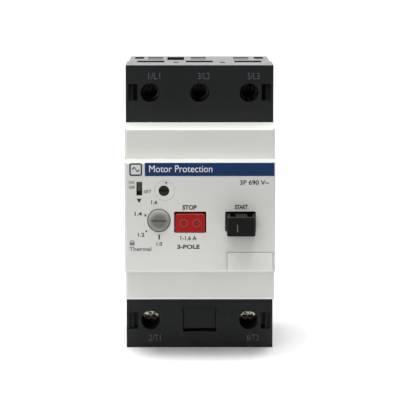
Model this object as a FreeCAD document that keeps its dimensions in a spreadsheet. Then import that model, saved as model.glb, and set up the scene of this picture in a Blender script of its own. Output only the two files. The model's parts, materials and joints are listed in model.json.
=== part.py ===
"""Three-pole motor protection breaker, built as separate pieces. Units are millimetres.

Frame: X runs across the front (+X on the right), Z runs up, and the front looks along -Y.
The origin is the centre of the back, where the breaker rests on its panel. A "depth" in
this file is a distance in front of that back plane, so depth 96 means y = -96.
"""

import FreeCAD, Part

import os
import re

import Sketcher

# Driving dimensions. Each one is a cell of the spreadsheet "Sizes".
SIZES = {
    # outer steps of the housing
    "overall_height": 120, "base_width": 62, "rear_width": 60.5, "cover_width": 61.5,
    "rear_depth": 32.5, "housing_depth": 60, "cover_depth": 86, "fascia_depth": 96,
    "cover_top": 36, "cover_bottom": -35, "fascia_top": 23.3, "fascia_bottom": -22,
    "wall": 2, "edge_bevel": 0.8, "gap": 0.1, "running": 0.05,
    # how far cuts reach past a face, and how far joined shapes reach into each other
    "overshoot": 1, "overlap": 0.5,
    # poles and terminals
    "pole_pitch": 20.8, "terminal_height": 48.4, "screw_hole_radius": 4, "screw_hole_depth": 16.3,
    "head_radius": 3.1, "head_front": 48, "head_thickness": 2.8, "shank_radius": 2, "shank_tip": 36.5,
    "cross_width": 1, "cross_length": 4.6, "cross_depth": 1.6,
    "cage_half_width": 5.5, "cage_half_height": 4, "cage_rear": 28.9, "cage_front": 39,
    "cage_side": 1.4, "cage_floor": 1.5, "cage_bridge": 2.4,
    "clamp_room_half_width": 5.8, "clamp_room_rear": 28.6, "clamp_room_front": 43.7,
    "clamp_room_inner": 43.5, "clamp_room_outer": 53.2, "wire_entry_rear": 30.4,
    "bar_half_width": 3.5, "bar_thickness": 1.4, "bar_rear": 35, "bar_outer": 54,
    "bar_slot_half_width": 4, "bar_slot_front": 37, "strip_margin": 1,
    # inside of the rear base
    "chamber_half_width": 7.4, "chamber_floor": 10, "chamber_height": 46, "line_leg_height": 39,
    # 35 mm rail channel and its latch
    "rail_channel_top": 16.2, "rail_channel_bottom": -18.6, "rail_channel_depth": 8,
    "rail_hook_top": 17.7, "rail_hook_rear": 6.2,
    "latch_half_width": 5.2, "latch_flange_half_width": 6.8, "latch_rear": 1, "latch_front": 6.2,
    "latch_flange_rear": 4.2, "latch_top": -16.2, "latch_nose_rear": 2, "latch_finger_bottom": -60,
    "latch_window_half_width": 2.5, "latch_window_top": -30, "latch_window_bottom": -45,
    "spring_lug_half_width": 1.9, "spring_lug_top": -42, "spring_lug_bottom": -44.6,
    "tool_slot_half_width": 2, "tool_slot_top": -54, "tool_slot_bottom": -57,
    "latch_spring_radius": 1.8, "latch_spring_turns": 6,
    # marks in the top and bottom faces
    "vent_pitch": 18.7, "vent_shift": -0.4, "vent_half_width": 3.3, "vent_rear": 5.6,
    "vent_front": 24, "vent_depth": 4, "vent_bar_first": 6.6, "vent_bar_step": 3,
    "vent_bar_count": 6, "vent_bar_width": 1.7, "vent_bar_recess": 0.2,
    "entry_lid_rear": 36, "entry_lid_recess": 0.3, "entry_lid_thickness": 1.2,
    "deep_slot_left": -13.9, "deep_slot_right": -6.6, "deep_slot_rear": 5.7,
    "deep_slot_front": 25.8, "deep_slot_depth": 11,
    "side_slot_inner": 24.2, "side_slot_outer": 28.2, "side_slot_rear": 4.9,
    "side_slot_front": 16.8, "side_slot_depth": 6, "notch_centre": 9.95, "notch_half_width": 1.1,
    "notch_rear": 39, "notch_front": 44, "notch_depth": 1.5, "back_pocket_depth": 4,
    "back_pocket_inner": 3.2, "back_pocket_outer": 27, "back_pocket_low": 22,
    "back_pocket_high": 54, "latch_pocket_inner": 12,
    # accessory pockets beside the outer terminals
    "side_pocket_inner": 26.05, "side_pocket_outer": 29.93, "side_pocket_low": 45,
    "side_pocket_high": 52.1, "side_pocket_depth": 5, "pocket_ledge_inner": 27.8,
    "pocket_ledge_recess": 2.2,
    # blanking plate over the middle load terminal
    "blank_half_width": 7.05, "blank_top": -43, "blank_bottom": -53.3, "blank_recess": 6,
    "blank_plate_bottom": -52, "blank_plate_front": 59.2, "blank_plate_rear": 57,
    "blank_leg_thickness": 1.4,
    # long screws that hold the two black mouldings together
    "fixing_x": 10.4, "fixing_z": 41.5, "fixing_radius": 1.5, "fixing_head_radius": 2.9,
    "fixing_head_depth": 3, "fixing_tip": 52, "fixing_bore_radius": 1.6,
    "fixing_seat_radius": 3.1, "fixing_seat_depth": 8, "fixing_tip_room": 1,
    # contacts
    "contact_centre": 9, "contact_half_span": 11, "strip_rear": 10.6, "strip_thickness": 1.4,
    "strip_half_width": 3.5, "tip_radius": 2.4, "tip_thickness": 1.2, "coil_strip_end": -22.8,
    "bridge_rear": 18.75, "bridge_thickness": 1.5, "bridge_half_width": 3,
    "bridge_half_length": 13.5, "carrier_front": 44, "carrier_rear": 38,
    "carrier_half_length": 26, "carrier_half_height": 3.8, "finger_half_width": 4.4,
    "finger_rear": 17.2, "finger_window_rear": 18.7, "finger_window_front": 27,
    "finger_window_half_width": 3.2, "drive_pad_front": 46.2, "drive_pad_bottom": -5,
    "contact_spring_radius": 2.1, "contact_spring_wire": 0.3, "contact_spring_turns": 4,
    "opening_spring_turns": 6, "opening_spring_radius": 2.1,
    "opening_spring_wire": 0.4, "opening_spring_pocket": 2.7, "opening_spring_seat": 24,
    # arc plates and their holders
    "arc_plate_count": 6, "arc_plate_first": 14.6, "arc_plate_step": 2.6,
    "arc_plate_thickness": 1, "arc_plate_half_width": 6.2, "arc_cheek_half_width": 7.2,
    "arc_upper_low": 25.5, "arc_upper_high": 37.5, "arc_lower_low": -20.5, "arc_lower_high": -7.5,
    "arc_cheek_front": 29.5, "arc_notch_half_width": 1.2, "arc_notch_depth": 4,
    # magnetic trip, one per pole
    "magnet_height": -29, "magnet_half_height": 5.8, "yoke_rear": 11.6, "yoke_front": 30,
    "yoke_wall": 1.2, "yoke_half_width": 7.2, "coil_radius": 4.7, "coil_wire": 0.7,
    "coil_pitch": 1.8, "coil_start": 14.4, "coil_length": 12.6, "core_radius": 3.4,
    "core_rear": 22, "core_bore": 1.1, "plunger_rear": 13.2, "plunger_front": 19.6,
    "plunger_rod_radius": 1, "plunger_rod_front": 32,
    # thermal trip, one per pole
    "load_leg_height": -32.6, "bimetal_rear": 49, "bimetal_thickness": 1.2,
    "bimetal_half_width": 3, "bimetal_top": -6.5, "heater_radius": 3.9, "heater_wire": 0.4,
    "heater_pitch": 1.7, "heater_start": -28, "heater_length": 13.6,
    # trip bar
    "trip_axis_depth": 42, "trip_axis_height": -20, "trip_bar_radius": 2.6,
    "trip_bar_half_length": 26.5, "trip_shaft_radius": 1,
    "trip_finger_half_width": 2, "trip_foot_rear": 34.4, "trip_foot_front": 35.8,
    "trip_foot_bottom": -29.6, "trip_head_rear": 42.8, "trip_head_front": 44.4,
    "trip_head_top": -8, "trip_web_half_height": 1, "trip_toe_front": 48,
    "trip_toe_thickness": 3, "trip_arm_rear": 47.4, "trip_arm_front": 48.8,
    "trip_arm_top": 13, "trip_arm_half_width": 1.5,
    # latch pawl that holds the contact carrier in
    "pawl_axis_depth": 49, "pawl_axis_height": 22, "pawl_x": -7, "pawl_half_width": 2,
    "pawl_boss_radius": 2.4, "pawl_pin_radius": 1, "pawl_nose_rear": 34.5,
    "pawl_nose_thickness": 1.6, "pawl_nose_low": 13.2, "pawl_arm_half_height": 1,
    "pawl_pin_reach": 3, "pawl_cheek_gap": 0.2, "pawl_cheek_thickness": 1.2,
    "pawl_cheek_half_height": 2.5,
    # mechanism plate and rocker
    "plate_rear": 58.2, "plate_front": 59.8, "plate_half_width": 27.2, "plate_half_height": 32,
    "plate_window_right": 24, "plate_window_left": 10.4, "plate_window_high": 6,
    "plate_window_low": -8, "rocker_x": 6.2, "rocker_axis_depth": 66, "rocker_height": -1.5,
    "rocker_half_height": 3, "rocker_arm": 10.3, "rocker_boss_radius": 2.6,
    "rocker_pin_radius": 1.2, "rocker_pin_half_length": 7.5, "rocker_thickness": 1.6,
    "rocker_tip_radius": 1.2, "rocker_tilt": 14, "ear_inner": 4, "ear_thickness": 1.2,
    "ear_half_width": 3, "ear_front": 69,
    # START and STOP keys
    "start_x": 16.45, "start_half_width": 6.25, "start_top": 2.95, "start_bottom": -5.4,
    "start_face": 105, "start_cap_rear": 103.2, "start_cap_drop": 1, "start_slope": 0.6,
    "start_slope_rear": 96.6,
    "stop_x": -4, "stop_half_width": 6.55, "stop_top": 2.9, "stop_bottom": -5.8,
    "stop_face": 96.2, "key_clearance": 0.35, "key_top_gap": 0.85, "start_left_gap": 0.6,
    "stop_side_gap": 0.5, "stop_bottom_gap": 0.15, "stop_stem_half_width": 1.6,
    "key_skirt_rear": 80,
    "key_stem_half_height": 2.2, "start_stem_inner": 2.2, "start_stem_outer": 4.4,
    "start_shoulder_inner": 1.7,
    "key_corner": 0.8, "drive_pad_half_width": 3.4, "stop_ring_outer": 1.7,
    "stop_ring_inner": 1.3, "stop_ring_offset": 2.6, "stop_ring_raise": 0.2, "key_bevel": 0.5,
    "start_grip_centre": 16.8, "start_grip_half_width": 1.1, "start_grip_depth": 8.5,
    "start_grip_offset": 3.4, "start_grip_recess": 0.9, "start_grip_setback": 2,
    # other things in the fascia
    "fascia_wall": 3.6, "dial_x": -16.7, "dial_z": -0.7, "dial_recess_radius": 4.8,
    "dial_recess_depth": 3.4, "dial_head_radius": 4.6, "dial_face": 97.6,
    "dial_shaft_radius": 3, "dial_shaft_rear": 85, "dial_boss_radius": 6, "dial_boss_rear": 88,
    "dial_slot_half_width": 0.3, "dial_slot_depth": 0.5, "dial_dome": 2.6,
    "eccentric_radius": 1, "eccentric_throw": 1.5, "eccentric_rear": 82.4,
    "setting_bar_rear": 82.8, "setting_bar_front": 84.6, "setting_bar_left": -21.4,
    "setting_bar_right": -12, "setting_bar_top": 6, "setting_bar_bottom": -15,
    "setting_slot_half_height": 1.3, "setting_slot_half_length": 2.2, "setting_guide_width": 1.2,
    "setting_guide_low": -12, "setting_guide_high": -8,
    "test_x": -14.65, "test_z": 11.4, "test_radius": 2.15, "test_face": 95.4,
    "test_head_rear": 88, "test_stem_radius": 1.2, "test_stem_rear": 48.9,
    "test_collar_radius": 2.8, "test_collar_rear": 72, "test_collar_thickness": 1.5,
    "test_spring_radius": 2, "test_spring_wire": 0.25, "test_spring_turns": 7,
    "test_slot_half_width": 0.35,
    "test_slot_depth": 0.6, "slider_x": -24.62, "slider_slot_half_width": 1.2,
    "slider_slot_low": 9.4, "slider_slot_high": 15.1, "slider_nub_low": 11.5,
    "slider_nub_high": 15, "slider_nub_front": 95.6, "slider_nub_half_width": 1.1,
    "slider_plate_half_width": 2.6, "slider_plate_low": 7.2, "slider_plate_high": 17,
    "slider_plate_rear": 90.8, "slider_plate_front": 92.3, "slider_groove": 0.4,
    "slider_groove_first": 0.6, "slider_groove_step": 0.9, "slider_groove_count": 3,
    "band_left": -22.3, "band_right": 30.1, "band_low": 17.5, "band_high": 22.75,
    "band_recess": 0.6, "band_thickness": 0.68, "flap_left": 11.1, "flap_right": 29.6,
    "flap_top": -13.9, "flap_bottom": -21.85, "flap_front": 96, "flap_thickness": 1.8,
    "flap_axis_height": -21, "flap_axis_depth": 95.05, "flap_pin_radius": 0.55,
    "flap_pin_length": 0.55, "flap_recess_depth": 2.5, "flap_gap": 0.2,
    "fascia_hook_x": 14, "fascia_hook_width": 1.3, "fascia_hook_rear": 81,
    "cover_hook_x": 27.4, "cover_hook_width": 1.3, "cover_hook_rear": 54, "hook_z": 14,
    "hook_half_height": 4,
}

FRONT, TOP, SIDE = "XZ_Plane", "XY_Plane", "YZ_Plane"
POLES = {"left": "-pole_pitch", "middle": "0", "right": "pole_pitch"}
ENDS = {"line": 1, "load": -1}
ROCKER_TIP_IN_FRONT = "rocker_axis_depth + rocker_arm * sin(rocker_tilt)"
ROCKER_TIP_BEHIND = "rocker_axis_depth - rocker_arm * sin(rocker_tilt)"

COIL_SIDES = 8
TOLERANCE = 1e-4

doc = FreeCAD.newDocument("motor_protection_breaker")
sheet = doc.addObject("Spreadsheet::Sheet", "Sizes")
nodes = []


# ---------------------------------------------------------------- helpers

def fill_sheet():
    """Write every driving dimension to the sheet, with its name as the cell's alias."""
    for row, (alias, value) in enumerate(SIZES.items(), start=1):
        sheet.set(f"A{row}", alias)
        sheet.set(f"B{row}", str(value))
        sheet.setAlias(f"B{row}", alias)
    doc.recompute()


def formula(text):
    """Turn names of driving dimensions in a formula into references to the sheet."""
    return re.sub(r"[a-z][a-z_]*", lambda word: "Sizes." + word.group()
                  if word.group() in SIZES else word.group(), str(text))


def value(text):
    """The present value of a formula."""
    return float(sheet.evalExpression(formula(text)))


def bind(thing, prop, text):
    """Bind a property of an object to a formula."""
    thing.setExpression(prop, formula(text))


def place(thing, x, depth, z):
    """Bind the place of an object to an x, a depth and a height."""
    bind(thing, "Placement.Base.x", x)
    bind(thing, "Placement.Base.y", f"-({depth})")
    bind(thing, "Placement.Base.z", z)


def node(name, thing):
    """Name a finished piece: its label names its file."""
    thing.Label = name
    nodes.append(thing)
    return thing


def block(name, x, depth, z):
    """A box between two x, two depths and two heights."""
    box = doc.addObject("Part::Box", name)
    place(box, x[0], depth[1], z[0])
    bind(box, "Length", f"({x[1]}) - ({x[0]})")
    bind(box, "Width", f"({depth[1]}) - ({depth[0]})")
    bind(box, "Height", f"({z[1]}) - ({z[0]})")
    return box


AXIS_TURNS = {
    "forward": FreeCAD.Rotation(FreeCAD.Vector(1, 0, 0), 90),
    "right": FreeCAD.Rotation(FreeCAD.Vector(0, 1, 0), 90),
    "up": FreeCAD.Rotation(),
}


def rod(name, along, x, depth, z, radius, length):
    """A cylinder that starts at a point and runs forward, right or up."""
    cylinder = doc.addObject("Part::Cylinder", name)
    cylinder.Placement.Rotation = AXIS_TURNS[along]
    place(cylinder, x, depth, z)
    bind(cylinder, "Radius", radius)
    bind(cylinder, "Height", length)
    return cylinder


def joined(name, pieces):
    """Several overlapping shapes fused to one solid."""
    fuse = doc.addObject("Part::MultiFuse", name)
    fuse.Shapes = pieces
    fuse.Refine = True
    return fuse


def without(name, base, tools):
    """A shape with other shapes cut away."""
    cut = doc.addObject("Part::Cut", name)
    cut.Base = base
    cut.Tool = tools[0] if len(tools) == 1 else joined(name + "_tools", tools)
    return cut


def grouped(name, pieces):
    """Separate solids that share one node."""
    compound = doc.addObject("Part::Compound", name)
    compound.Links = pieces
    return node(name, compound)


def coil(name, along, x, depth, z, radius, wire, length, pitch):
    """A wire of eight-sided section wound forward or up from a point on the coil's axis."""
    helix = doc.addObject("Part::Helix", name + "_path")
    helix.Placement.Rotation = AXIS_TURNS[along]
    place(helix, x, depth, z)
    bind(helix, "Radius", radius)
    bind(helix, "Height", length)
    bind(helix, "Pitch", pitch)
    section = doc.addObject("Part::RegularPolygon", name + "_section")
    section.Polygon = COIL_SIDES
    section.Placement.Rotation = AXIS_TURNS["up" if along == "forward" else "forward"]
    place(section, f"{x} + {radius}", depth, z)
    bind(section, "Circumradius", wire)
    sweep = doc.addObject("Part::Sweep", name)
    sweep.Sections = [section]
    sweep.Spine = helix
    sweep.Solid = True
    sweep.Frenet = True
    return sweep


def new_body(name):
    """An empty PartDesign body that becomes the node of this name."""
    return node(name, doc.addObject("PartDesign::Body", name))


def new_sketch(body, name, plane, offset):
    """A sketch on one of the body's own origin planes, moved along the plane's normal."""
    sketch = body.newObject("Sketcher::SketchObject", name)
    origin_plane = next(item for item in body.Origin.OriginFeatures if item.Role == plane)
    sketch.AttachmentSupport = [(origin_plane, "")]
    sketch.MapMode = "FlatFace"
    bind(sketch, ".AttachmentOffset.Base.z", offset)
    return sketch


def bound_distance(sketch, kind, element, point, text):
    """Hold a point of the sketch at a distance from the sketch's origin."""
    number = sketch.addConstraint(Sketcher.Constraint(kind, -1, 1, element, point, value(text)))
    sketch.setExpression(f"Constraints[{number}]", formula(text))


def draw_rectangle(sketch, left, right, low, high):
    """A rectangle with its four sides bound to formulas."""
    sides = [value(text) for text in (left, right, low, high)]
    corners = [FreeCAD.Vector(sides[0], sides[2]), FreeCAD.Vector(sides[1], sides[2]),
               FreeCAD.Vector(sides[1], sides[3]), FreeCAD.Vector(sides[0], sides[3])]
    lines = sketch.addGeometry([Part.LineSegment(corners[n], corners[(n + 1) % 4])
                                for n in range(4)], False)
    for n in range(4):
        sketch.addConstraint(Sketcher.Constraint("Coincident", lines[n], 2, lines[(n + 1) % 4], 1))
        direction = "Vertical" if n % 2 else "Horizontal"
        sketch.addConstraint(Sketcher.Constraint(direction, lines[n]))
    bound_distance(sketch, "DistanceX", lines[0], 1, left)
    bound_distance(sketch, "DistanceX", lines[1], 1, right)
    bound_distance(sketch, "DistanceY", lines[0], 1, low)
    bound_distance(sketch, "DistanceY", lines[2], 1, high)


def draw_circle(sketch, across, up, radius):
    """A circle with its centre and radius bound to formulas."""
    centre = FreeCAD.Vector(value(across), value(up))
    circle = sketch.addGeometry(Part.Circle(centre, FreeCAD.Vector(0, 0, 1), value(radius)), False)
    bound_distance(sketch, "DistanceX", circle, 3, across)
    bound_distance(sketch, "DistanceY", circle, 3, up)
    number = sketch.addConstraint(Sketcher.Constraint("Radius", circle, value(radius)))
    sketch.setExpression(f"Constraints[{number}]", formula(radius))


def draw_outline(sketch, points):
    """A closed outline of straight sides through points given as formulas."""
    places = [FreeCAD.Vector(value(across), value(up)) for across, up in points]
    count = len(places)
    lines = sketch.addGeometry([Part.LineSegment(places[n], places[(n + 1) % count])
                                for n in range(count)], False)
    for n, (across, up) in enumerate(points):
        sketch.addConstraint(Sketcher.Constraint("Coincident", lines[n], 2,
                                                 lines[(n + 1) % count], 1))
        bound_distance(sketch, "DistanceX", lines[n], 1, across)
        bound_distance(sketch, "DistanceY", lines[n], 1, up)


def rectangle(left, right, low, high):
    return lambda sketch: draw_rectangle(sketch, left, right, low, high)


def around(across, half_width, up, half_height):
    """A rectangle given by its centre and half sizes."""
    return rectangle(f"({across}) - ({half_width})", f"({across}) + ({half_width})",
                     f"({up}) - ({half_height})", f"({up}) + ({half_height})")


def circle(across, up, radius):
    return lambda sketch: draw_circle(sketch, across, up, radius)


def outline(points):
    return lambda sketch: draw_outline(sketch, points)


def feature(body, kind, name, plane, offset, length, shapes, reverse=False):
    """A pad or pocket of the shapes, which must change the body's volume the right way."""
    before = body.Shape.Volume if body.Tip else 0
    sketch = new_sketch(body, name + "_sketch", plane, offset)
    for draw in shapes:
        draw(sketch)
    step = body.newObject("PartDesign::" + kind, name)
    step.Profile = sketch
    step.Reversed = reverse
    bind(step, "Length", length)
    doc.recompute()
    change = body.Shape.Volume - before
    if change * (1 if kind == "Pad" else -1) <= 0:
        raise ValueError(f"{name} doesn't change the volume as a {kind} should: {change}")
    return step


def pad(body, name, plane, offset, length, shapes, reverse=False):
    return feature(body, "Pad", name, plane, offset, length, shapes, reverse)


def pocket(body, name, plane, offset, length, shapes, reverse=False):
    return feature(body, "Pocket", name, plane, offset, length, shapes, reverse)


def dressed(body, kind, name, size, wanted):
    """A fillet or chamfer on the edges of the body for which wanted(edge) is true."""
    tip = body.Tip
    edges = [f"Edge{n}" for n, edge in enumerate(tip.Shape.Edges, start=1) if wanted(edge)]
    step = body.newObject("PartDesign::" + kind, name)
    step.Base = (tip, edges)
    bind(step, "Radius" if kind == "Fillet" else "Size", size)
    doc.recompute()
    return step


def at_depth(edge, depth):
    """Whether the whole edge lies at this depth."""
    bounds = edge.BoundBox
    return abs(bounds.YMin + value(depth)) < TOLERANCE and abs(bounds.YMax + value(depth)) < TOLERANCE


def runs_forward(edge):
    """Whether the edge is straight along Y."""
    bounds = edge.BoundBox
    return bounds.XLength < TOLERANCE and bounds.ZLength < TOLERANCE


def runs_across(edge):
    """Whether the edge is straight along X."""
    bounds = edge.BoundBox
    return bounds.YLength < TOLERANCE and bounds.ZLength < TOLERANCE


# ---------------------------------------------------------------- housing mouldings

def make_rear_base():
    """Black rear moulding: rail channel behind, pole chambers in front."""
    body = new_body("rear_base")
    pad(body, "base_block", FRONT, 0, "rear_depth",
        [around(0, "rear_width / 2", 0, "overall_height / 2")])
    chambers = [around(x, "chamber_half_width", 0, "chamber_height") for x in POLES.values()]
    pocket(body, "pole_chambers", FRONT, "rear_depth", "rear_depth - chamber_floor", chambers)
    rooms = []
    for end in ENDS.values():
        low, high = heights_at(end, "clamp_room_inner", "clamp_room_outer")
        rooms += [rectangle(f"{x} - clamp_room_half_width", f"{x} + clamp_room_half_width",
                            low, high) for x in POLES.values()]
    pocket(body, "clamp_rooms", FRONT, "rear_depth", "rear_depth - clamp_room_rear", rooms)
    for end_name, end in ENDS.items():
        entries = [rectangle(f"{x} - clamp_room_half_width", f"{x} + clamp_room_half_width",
                             "-rear_depth", "-wire_entry_rear") for x in POLES.values()]
        pocket(body, f"{end_name}_wire_entries", TOP, f"{end} * overall_height / 2",
               "overall_height / 2 - clamp_room_inner", entries, reverse=end < 0)
    pocket(body, "spring_seats", FRONT, "rear_depth", "rear_depth - opening_spring_seat",
           [circle(f"{side} * fixing_x", "contact_centre", "opening_spring_pocket")
            for side in (-1, 1)])
    make_rail_channel(body)
    make_end_face_slots(body)
    pocket(body, "fixing_seats", FRONT, 0, "fixing_seat_depth",
           fixing_circles("fixing_seat_radius"), reverse=True)
    pocket(body, "fixing_bores", FRONT, "fixing_seat_depth", "rear_depth - fixing_seat_depth",
           fixing_circles("fixing_bore_radius"), reverse=True)


def heights_at(end, inner, outer):
    """The two heights of a strip between inner and outer, at the top (1) or the bottom (-1)."""
    return (inner, outer) if end > 0 else (f"-({outer})", f"-({inner})")


def fixing_circles(radius):
    """A circle at each of the four housing screws."""
    return [circle(f"{side} * fixing_x", f"{end} * fixing_z", radius)
            for side in (-1, 1) for end in (-1, 1)]


def make_rail_channel(body):
    """The rail channel, its fixed hook and the guide of the sliding latch."""
    left, full_width = "-rear_width / 2 - overshoot", "rear_width + 2 * overshoot"
    pocket(body, "rail_channel", SIDE, left, full_width,
           [rectangle("-rail_channel_depth", "overshoot", "rail_channel_bottom",
                      "rail_channel_top")],
           reverse=True)
    pocket(body, "rail_hook", SIDE, left, full_width,
           [rectangle("-rail_channel_depth", "-rail_hook_rear", "0", "rail_hook_top")],
           reverse=True)
    pocket(body, "latch_guide", FRONT, 0, "latch_front + gap",
           [rectangle("-latch_half_width - gap", "latch_half_width + gap",
                      "-overall_height / 2 - overshoot", "rail_channel_bottom")], reverse=True)
    pocket(body, "latch_grooves", FRONT, "latch_flange_rear - gap",
           "latch_front - latch_flange_rear + 2 * gap",
           [rectangle("-latch_flange_half_width - gap", "latch_flange_half_width + gap",
                      "-overall_height / 2 - overshoot", "rail_channel_bottom")], reverse=True)
    pad(body, "spring_lug", FRONT, "latch_rear", "latch_front + gap - latch_rear",
        [rectangle("-spring_lug_half_width", "spring_lug_half_width", "spring_lug_bottom",
                   "spring_lug_top")])
    pocket(body, "back_pockets", FRONT, 0, "back_pocket_depth",
           [rectangle(low, high, "back_pocket_low", "back_pocket_high")
            for low, high in (("-back_pocket_outer", "-back_pocket_inner - fixing_x"),
                              ("-back_pocket_inner", "back_pocket_inner"),
                              ("back_pocket_inner + fixing_x", "back_pocket_outer"))]
           + [rectangle(low, high, "-back_pocket_high", "-back_pocket_low")
              for low, high in (("-back_pocket_outer", "-latch_pocket_inner - back_pocket_inner"),
                                ("latch_pocket_inner + back_pocket_inner", "back_pocket_outer"))],
           reverse=True)


def make_end_face_slots(body):
    """Barred arc vents and moulding slots in the top face."""
    top = "overall_height / 2"
    middles = [f"{side} * vent_pitch + vent_shift" for side in (-1, 0, 1)]
    vents = [rectangle(f"{x} - vent_half_width", f"{x} + vent_half_width", "-vent_front",
                       "-vent_rear") for x in middles]
    pocket(body, "arc_vents", TOP, top, "vent_depth", vents)
    deep_vents = [rectangle(f"{x} - vent_half_width", f"{x} + vent_half_width", "-vent_front",
                            "-chamber_floor - wall") for x in middles]
    pocket(body, "vent_ducts", TOP, top, "overall_height / 2 - chamber_height", deep_vents)
    bars = []
    for number in range(SIZES["vent_bar_count"]):
        rear = f"vent_bar_first + {number} * vent_bar_step"
        bars += [rectangle(f"{x} - vent_half_width", f"{x} + vent_half_width",
                           f"-({rear} + vent_bar_width)", f"-({rear})") for x in middles]
    pad(body, "vent_bars", TOP, f"{top} - vent_depth", "vent_depth - vent_bar_recess", bars)
    pocket(body, "deep_slot", TOP, top, "deep_slot_depth",
           [rectangle("deep_slot_left", "deep_slot_right", "-deep_slot_front",
                      "-deep_slot_rear")])
    pocket(body, "side_slots", TOP, top, "side_slot_depth",
           [rectangle("-side_slot_outer", "-side_slot_inner", "-side_slot_front",
                      "-side_slot_rear"),
            rectangle("side_slot_inner", "side_slot_outer", "-side_slot_front",
                      "-side_slot_rear")])


def make_terminal_housing():
    """Black front moulding: two terminal blocks with half-lidded wire entries, and side walls."""
    body = new_body("terminal_housing")
    pad(body, "housing_block", FRONT, "rear_depth", "housing_depth - rear_depth",
        [around(0, "base_width / 2", 0, "overall_height / 2")])
    pocket(body, "mechanism_room", FRONT, "housing_depth", "housing_depth - rear_depth",
           [rectangle("-base_width / 2 + wall", "base_width / 2 - wall", "cover_bottom + wall",
                      "cover_top - wall")])
    pocket(body, "screw_holes", FRONT, "housing_depth", "screw_hole_depth + gap",
           [circle(x, f"{end} * terminal_height", "screw_hole_radius")
            for x in POLES.values() for end in ENDS.values()])
    for end_name, end in ENDS.items():
        entries = [rectangle(f"{x} - clamp_room_half_width", f"{x} + clamp_room_half_width",
                             "-clamp_room_front", "-rear_depth + overshoot") for x in POLES.values()]
        pocket(body, f"{end_name}_clamp_rooms", TOP, f"{end} * overall_height / 2",
               "overall_height / 2 - clamp_room_inner", entries, reverse=end < 0)
        lids = [rectangle(f"{x} - clamp_room_half_width - overlap",
                          f"{x} + clamp_room_half_width + overlap",
                          "-clamp_room_front - overlap", "-entry_lid_rear")
                for x in POLES.values()]
        pad(body, f"{end_name}_entry_lids", TOP, f"{end} * (overall_height / 2 - entry_lid_recess)",
            "entry_lid_thickness", lids, reverse=end > 0)
        heights = ("cover_top - wall - overshoot", "clamp_room_inner + overshoot")
        if end < 0:
            heights = ("-clamp_room_inner - overshoot", "cover_bottom + wall + overshoot")
        pocket(body, f"{end_name}_bar_slots", FRONT, "bar_slot_front",
               "bar_slot_front - rear_depth",
               [rectangle(f"{x} - bar_slot_half_width", f"{x} + bar_slot_half_width", *heights)
                for x in POLES.values()])
        pocket(body, f"{end_name}_notches", TOP, f"{end} * overall_height / 2", "notch_depth",
               [rectangle(f"{side} * notch_centre - notch_half_width",
                          f"{side} * notch_centre + notch_half_width",
                          "-notch_front", "-notch_rear") for side in (-1, 1)], reverse=end < 0)
        make_side_pockets(body, end_name, end)
    pocket(body, "blank_window", FRONT, "housing_depth", "blank_recess",
           [rectangle("-blank_half_width", "blank_half_width", "blank_bottom", "blank_top")])
    pocket(body, "fixing_threads", FRONT, "rear_depth", "fixing_tip - rear_depth + fixing_tip_room",
           fixing_circles("fixing_bore_radius"), reverse=True)


def make_side_pockets(body, end_name, end):
    """Accessory pockets beside the outer terminals, each with a ledge on its outer side."""
    low, high = heights_at(end, "side_pocket_low", "side_pocket_high")
    pocket(body, f"{end_name}_side_pockets", FRONT, "housing_depth", "side_pocket_depth",
           [rectangle("-side_pocket_outer", "-side_pocket_inner", low, high),
            rectangle("side_pocket_inner", "side_pocket_outer", low, high)])
    pad(body, f"{end_name}_pocket_ledges", FRONT, "housing_depth - side_pocket_depth",
        "side_pocket_depth - pocket_ledge_recess",
        [rectangle("-side_pocket_outer", "-pocket_ledge_inner", low, high),
         rectangle("pocket_ledge_inner", "side_pocket_outer", low, high)])


def make_front_cover():
    """Light grey cover: a box shell over the mechanism, open behind."""
    body = new_body("front_cover")
    pad(body, "cover_block", FRONT, "housing_depth", "cover_depth - housing_depth",
        [rectangle("-cover_width / 2", "cover_width / 2", "cover_bottom", "cover_top")])
    dressed(body, "Chamfer", "cover_bevel", "edge_bevel",
            lambda edge: at_depth(edge, "cover_depth"))
    pocket(body, "cover_inside", FRONT, "cover_depth - wall", "cover_depth - wall - housing_depth",
           [rectangle("-cover_width / 2 + wall", "cover_width / 2 - wall", "cover_bottom + wall",
                      "cover_top - wall")])
    pocket(body, "cover_opening", FRONT, "cover_depth", "wall",
           [rectangle("-cover_width / 2 + wall + wall", "cover_width / 2 - wall - wall",
                      "fascia_bottom + wall", "fascia_top - wall")])
    for side_name, side in (("left", -1), ("right", 1)):
        inner = f"{side} * cover_hook_x"
        outer = f"{side} * (cover_width / 2 - wall + gap)"
        left, right = (outer, inner) if side < 0 else (inner, outer)
        pad(body, f"{side_name}_cover_hooks_root", FRONT, "housing_depth + gap",
            "cover_depth - wall - housing_depth - gap",
            [rectangle(left, right, f"{end} * hook_z - hook_half_height",
                       f"{end} * hook_z + hook_half_height") for end in (-1, 1)])
        tip_outer = f"{side} * (cover_hook_x + cover_hook_width)"
        left, right = (tip_outer, inner) if side < 0 else (inner, tip_outer)
        pad(body, f"{side_name}_cover_hooks", FRONT, "cover_hook_rear",
            "housing_depth + overlap - cover_hook_rear",
            [rectangle(left, right, f"{end} * hook_z - hook_half_height",
                       f"{end} * hook_z + hook_half_height") for end in (-1, 1)])


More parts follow.
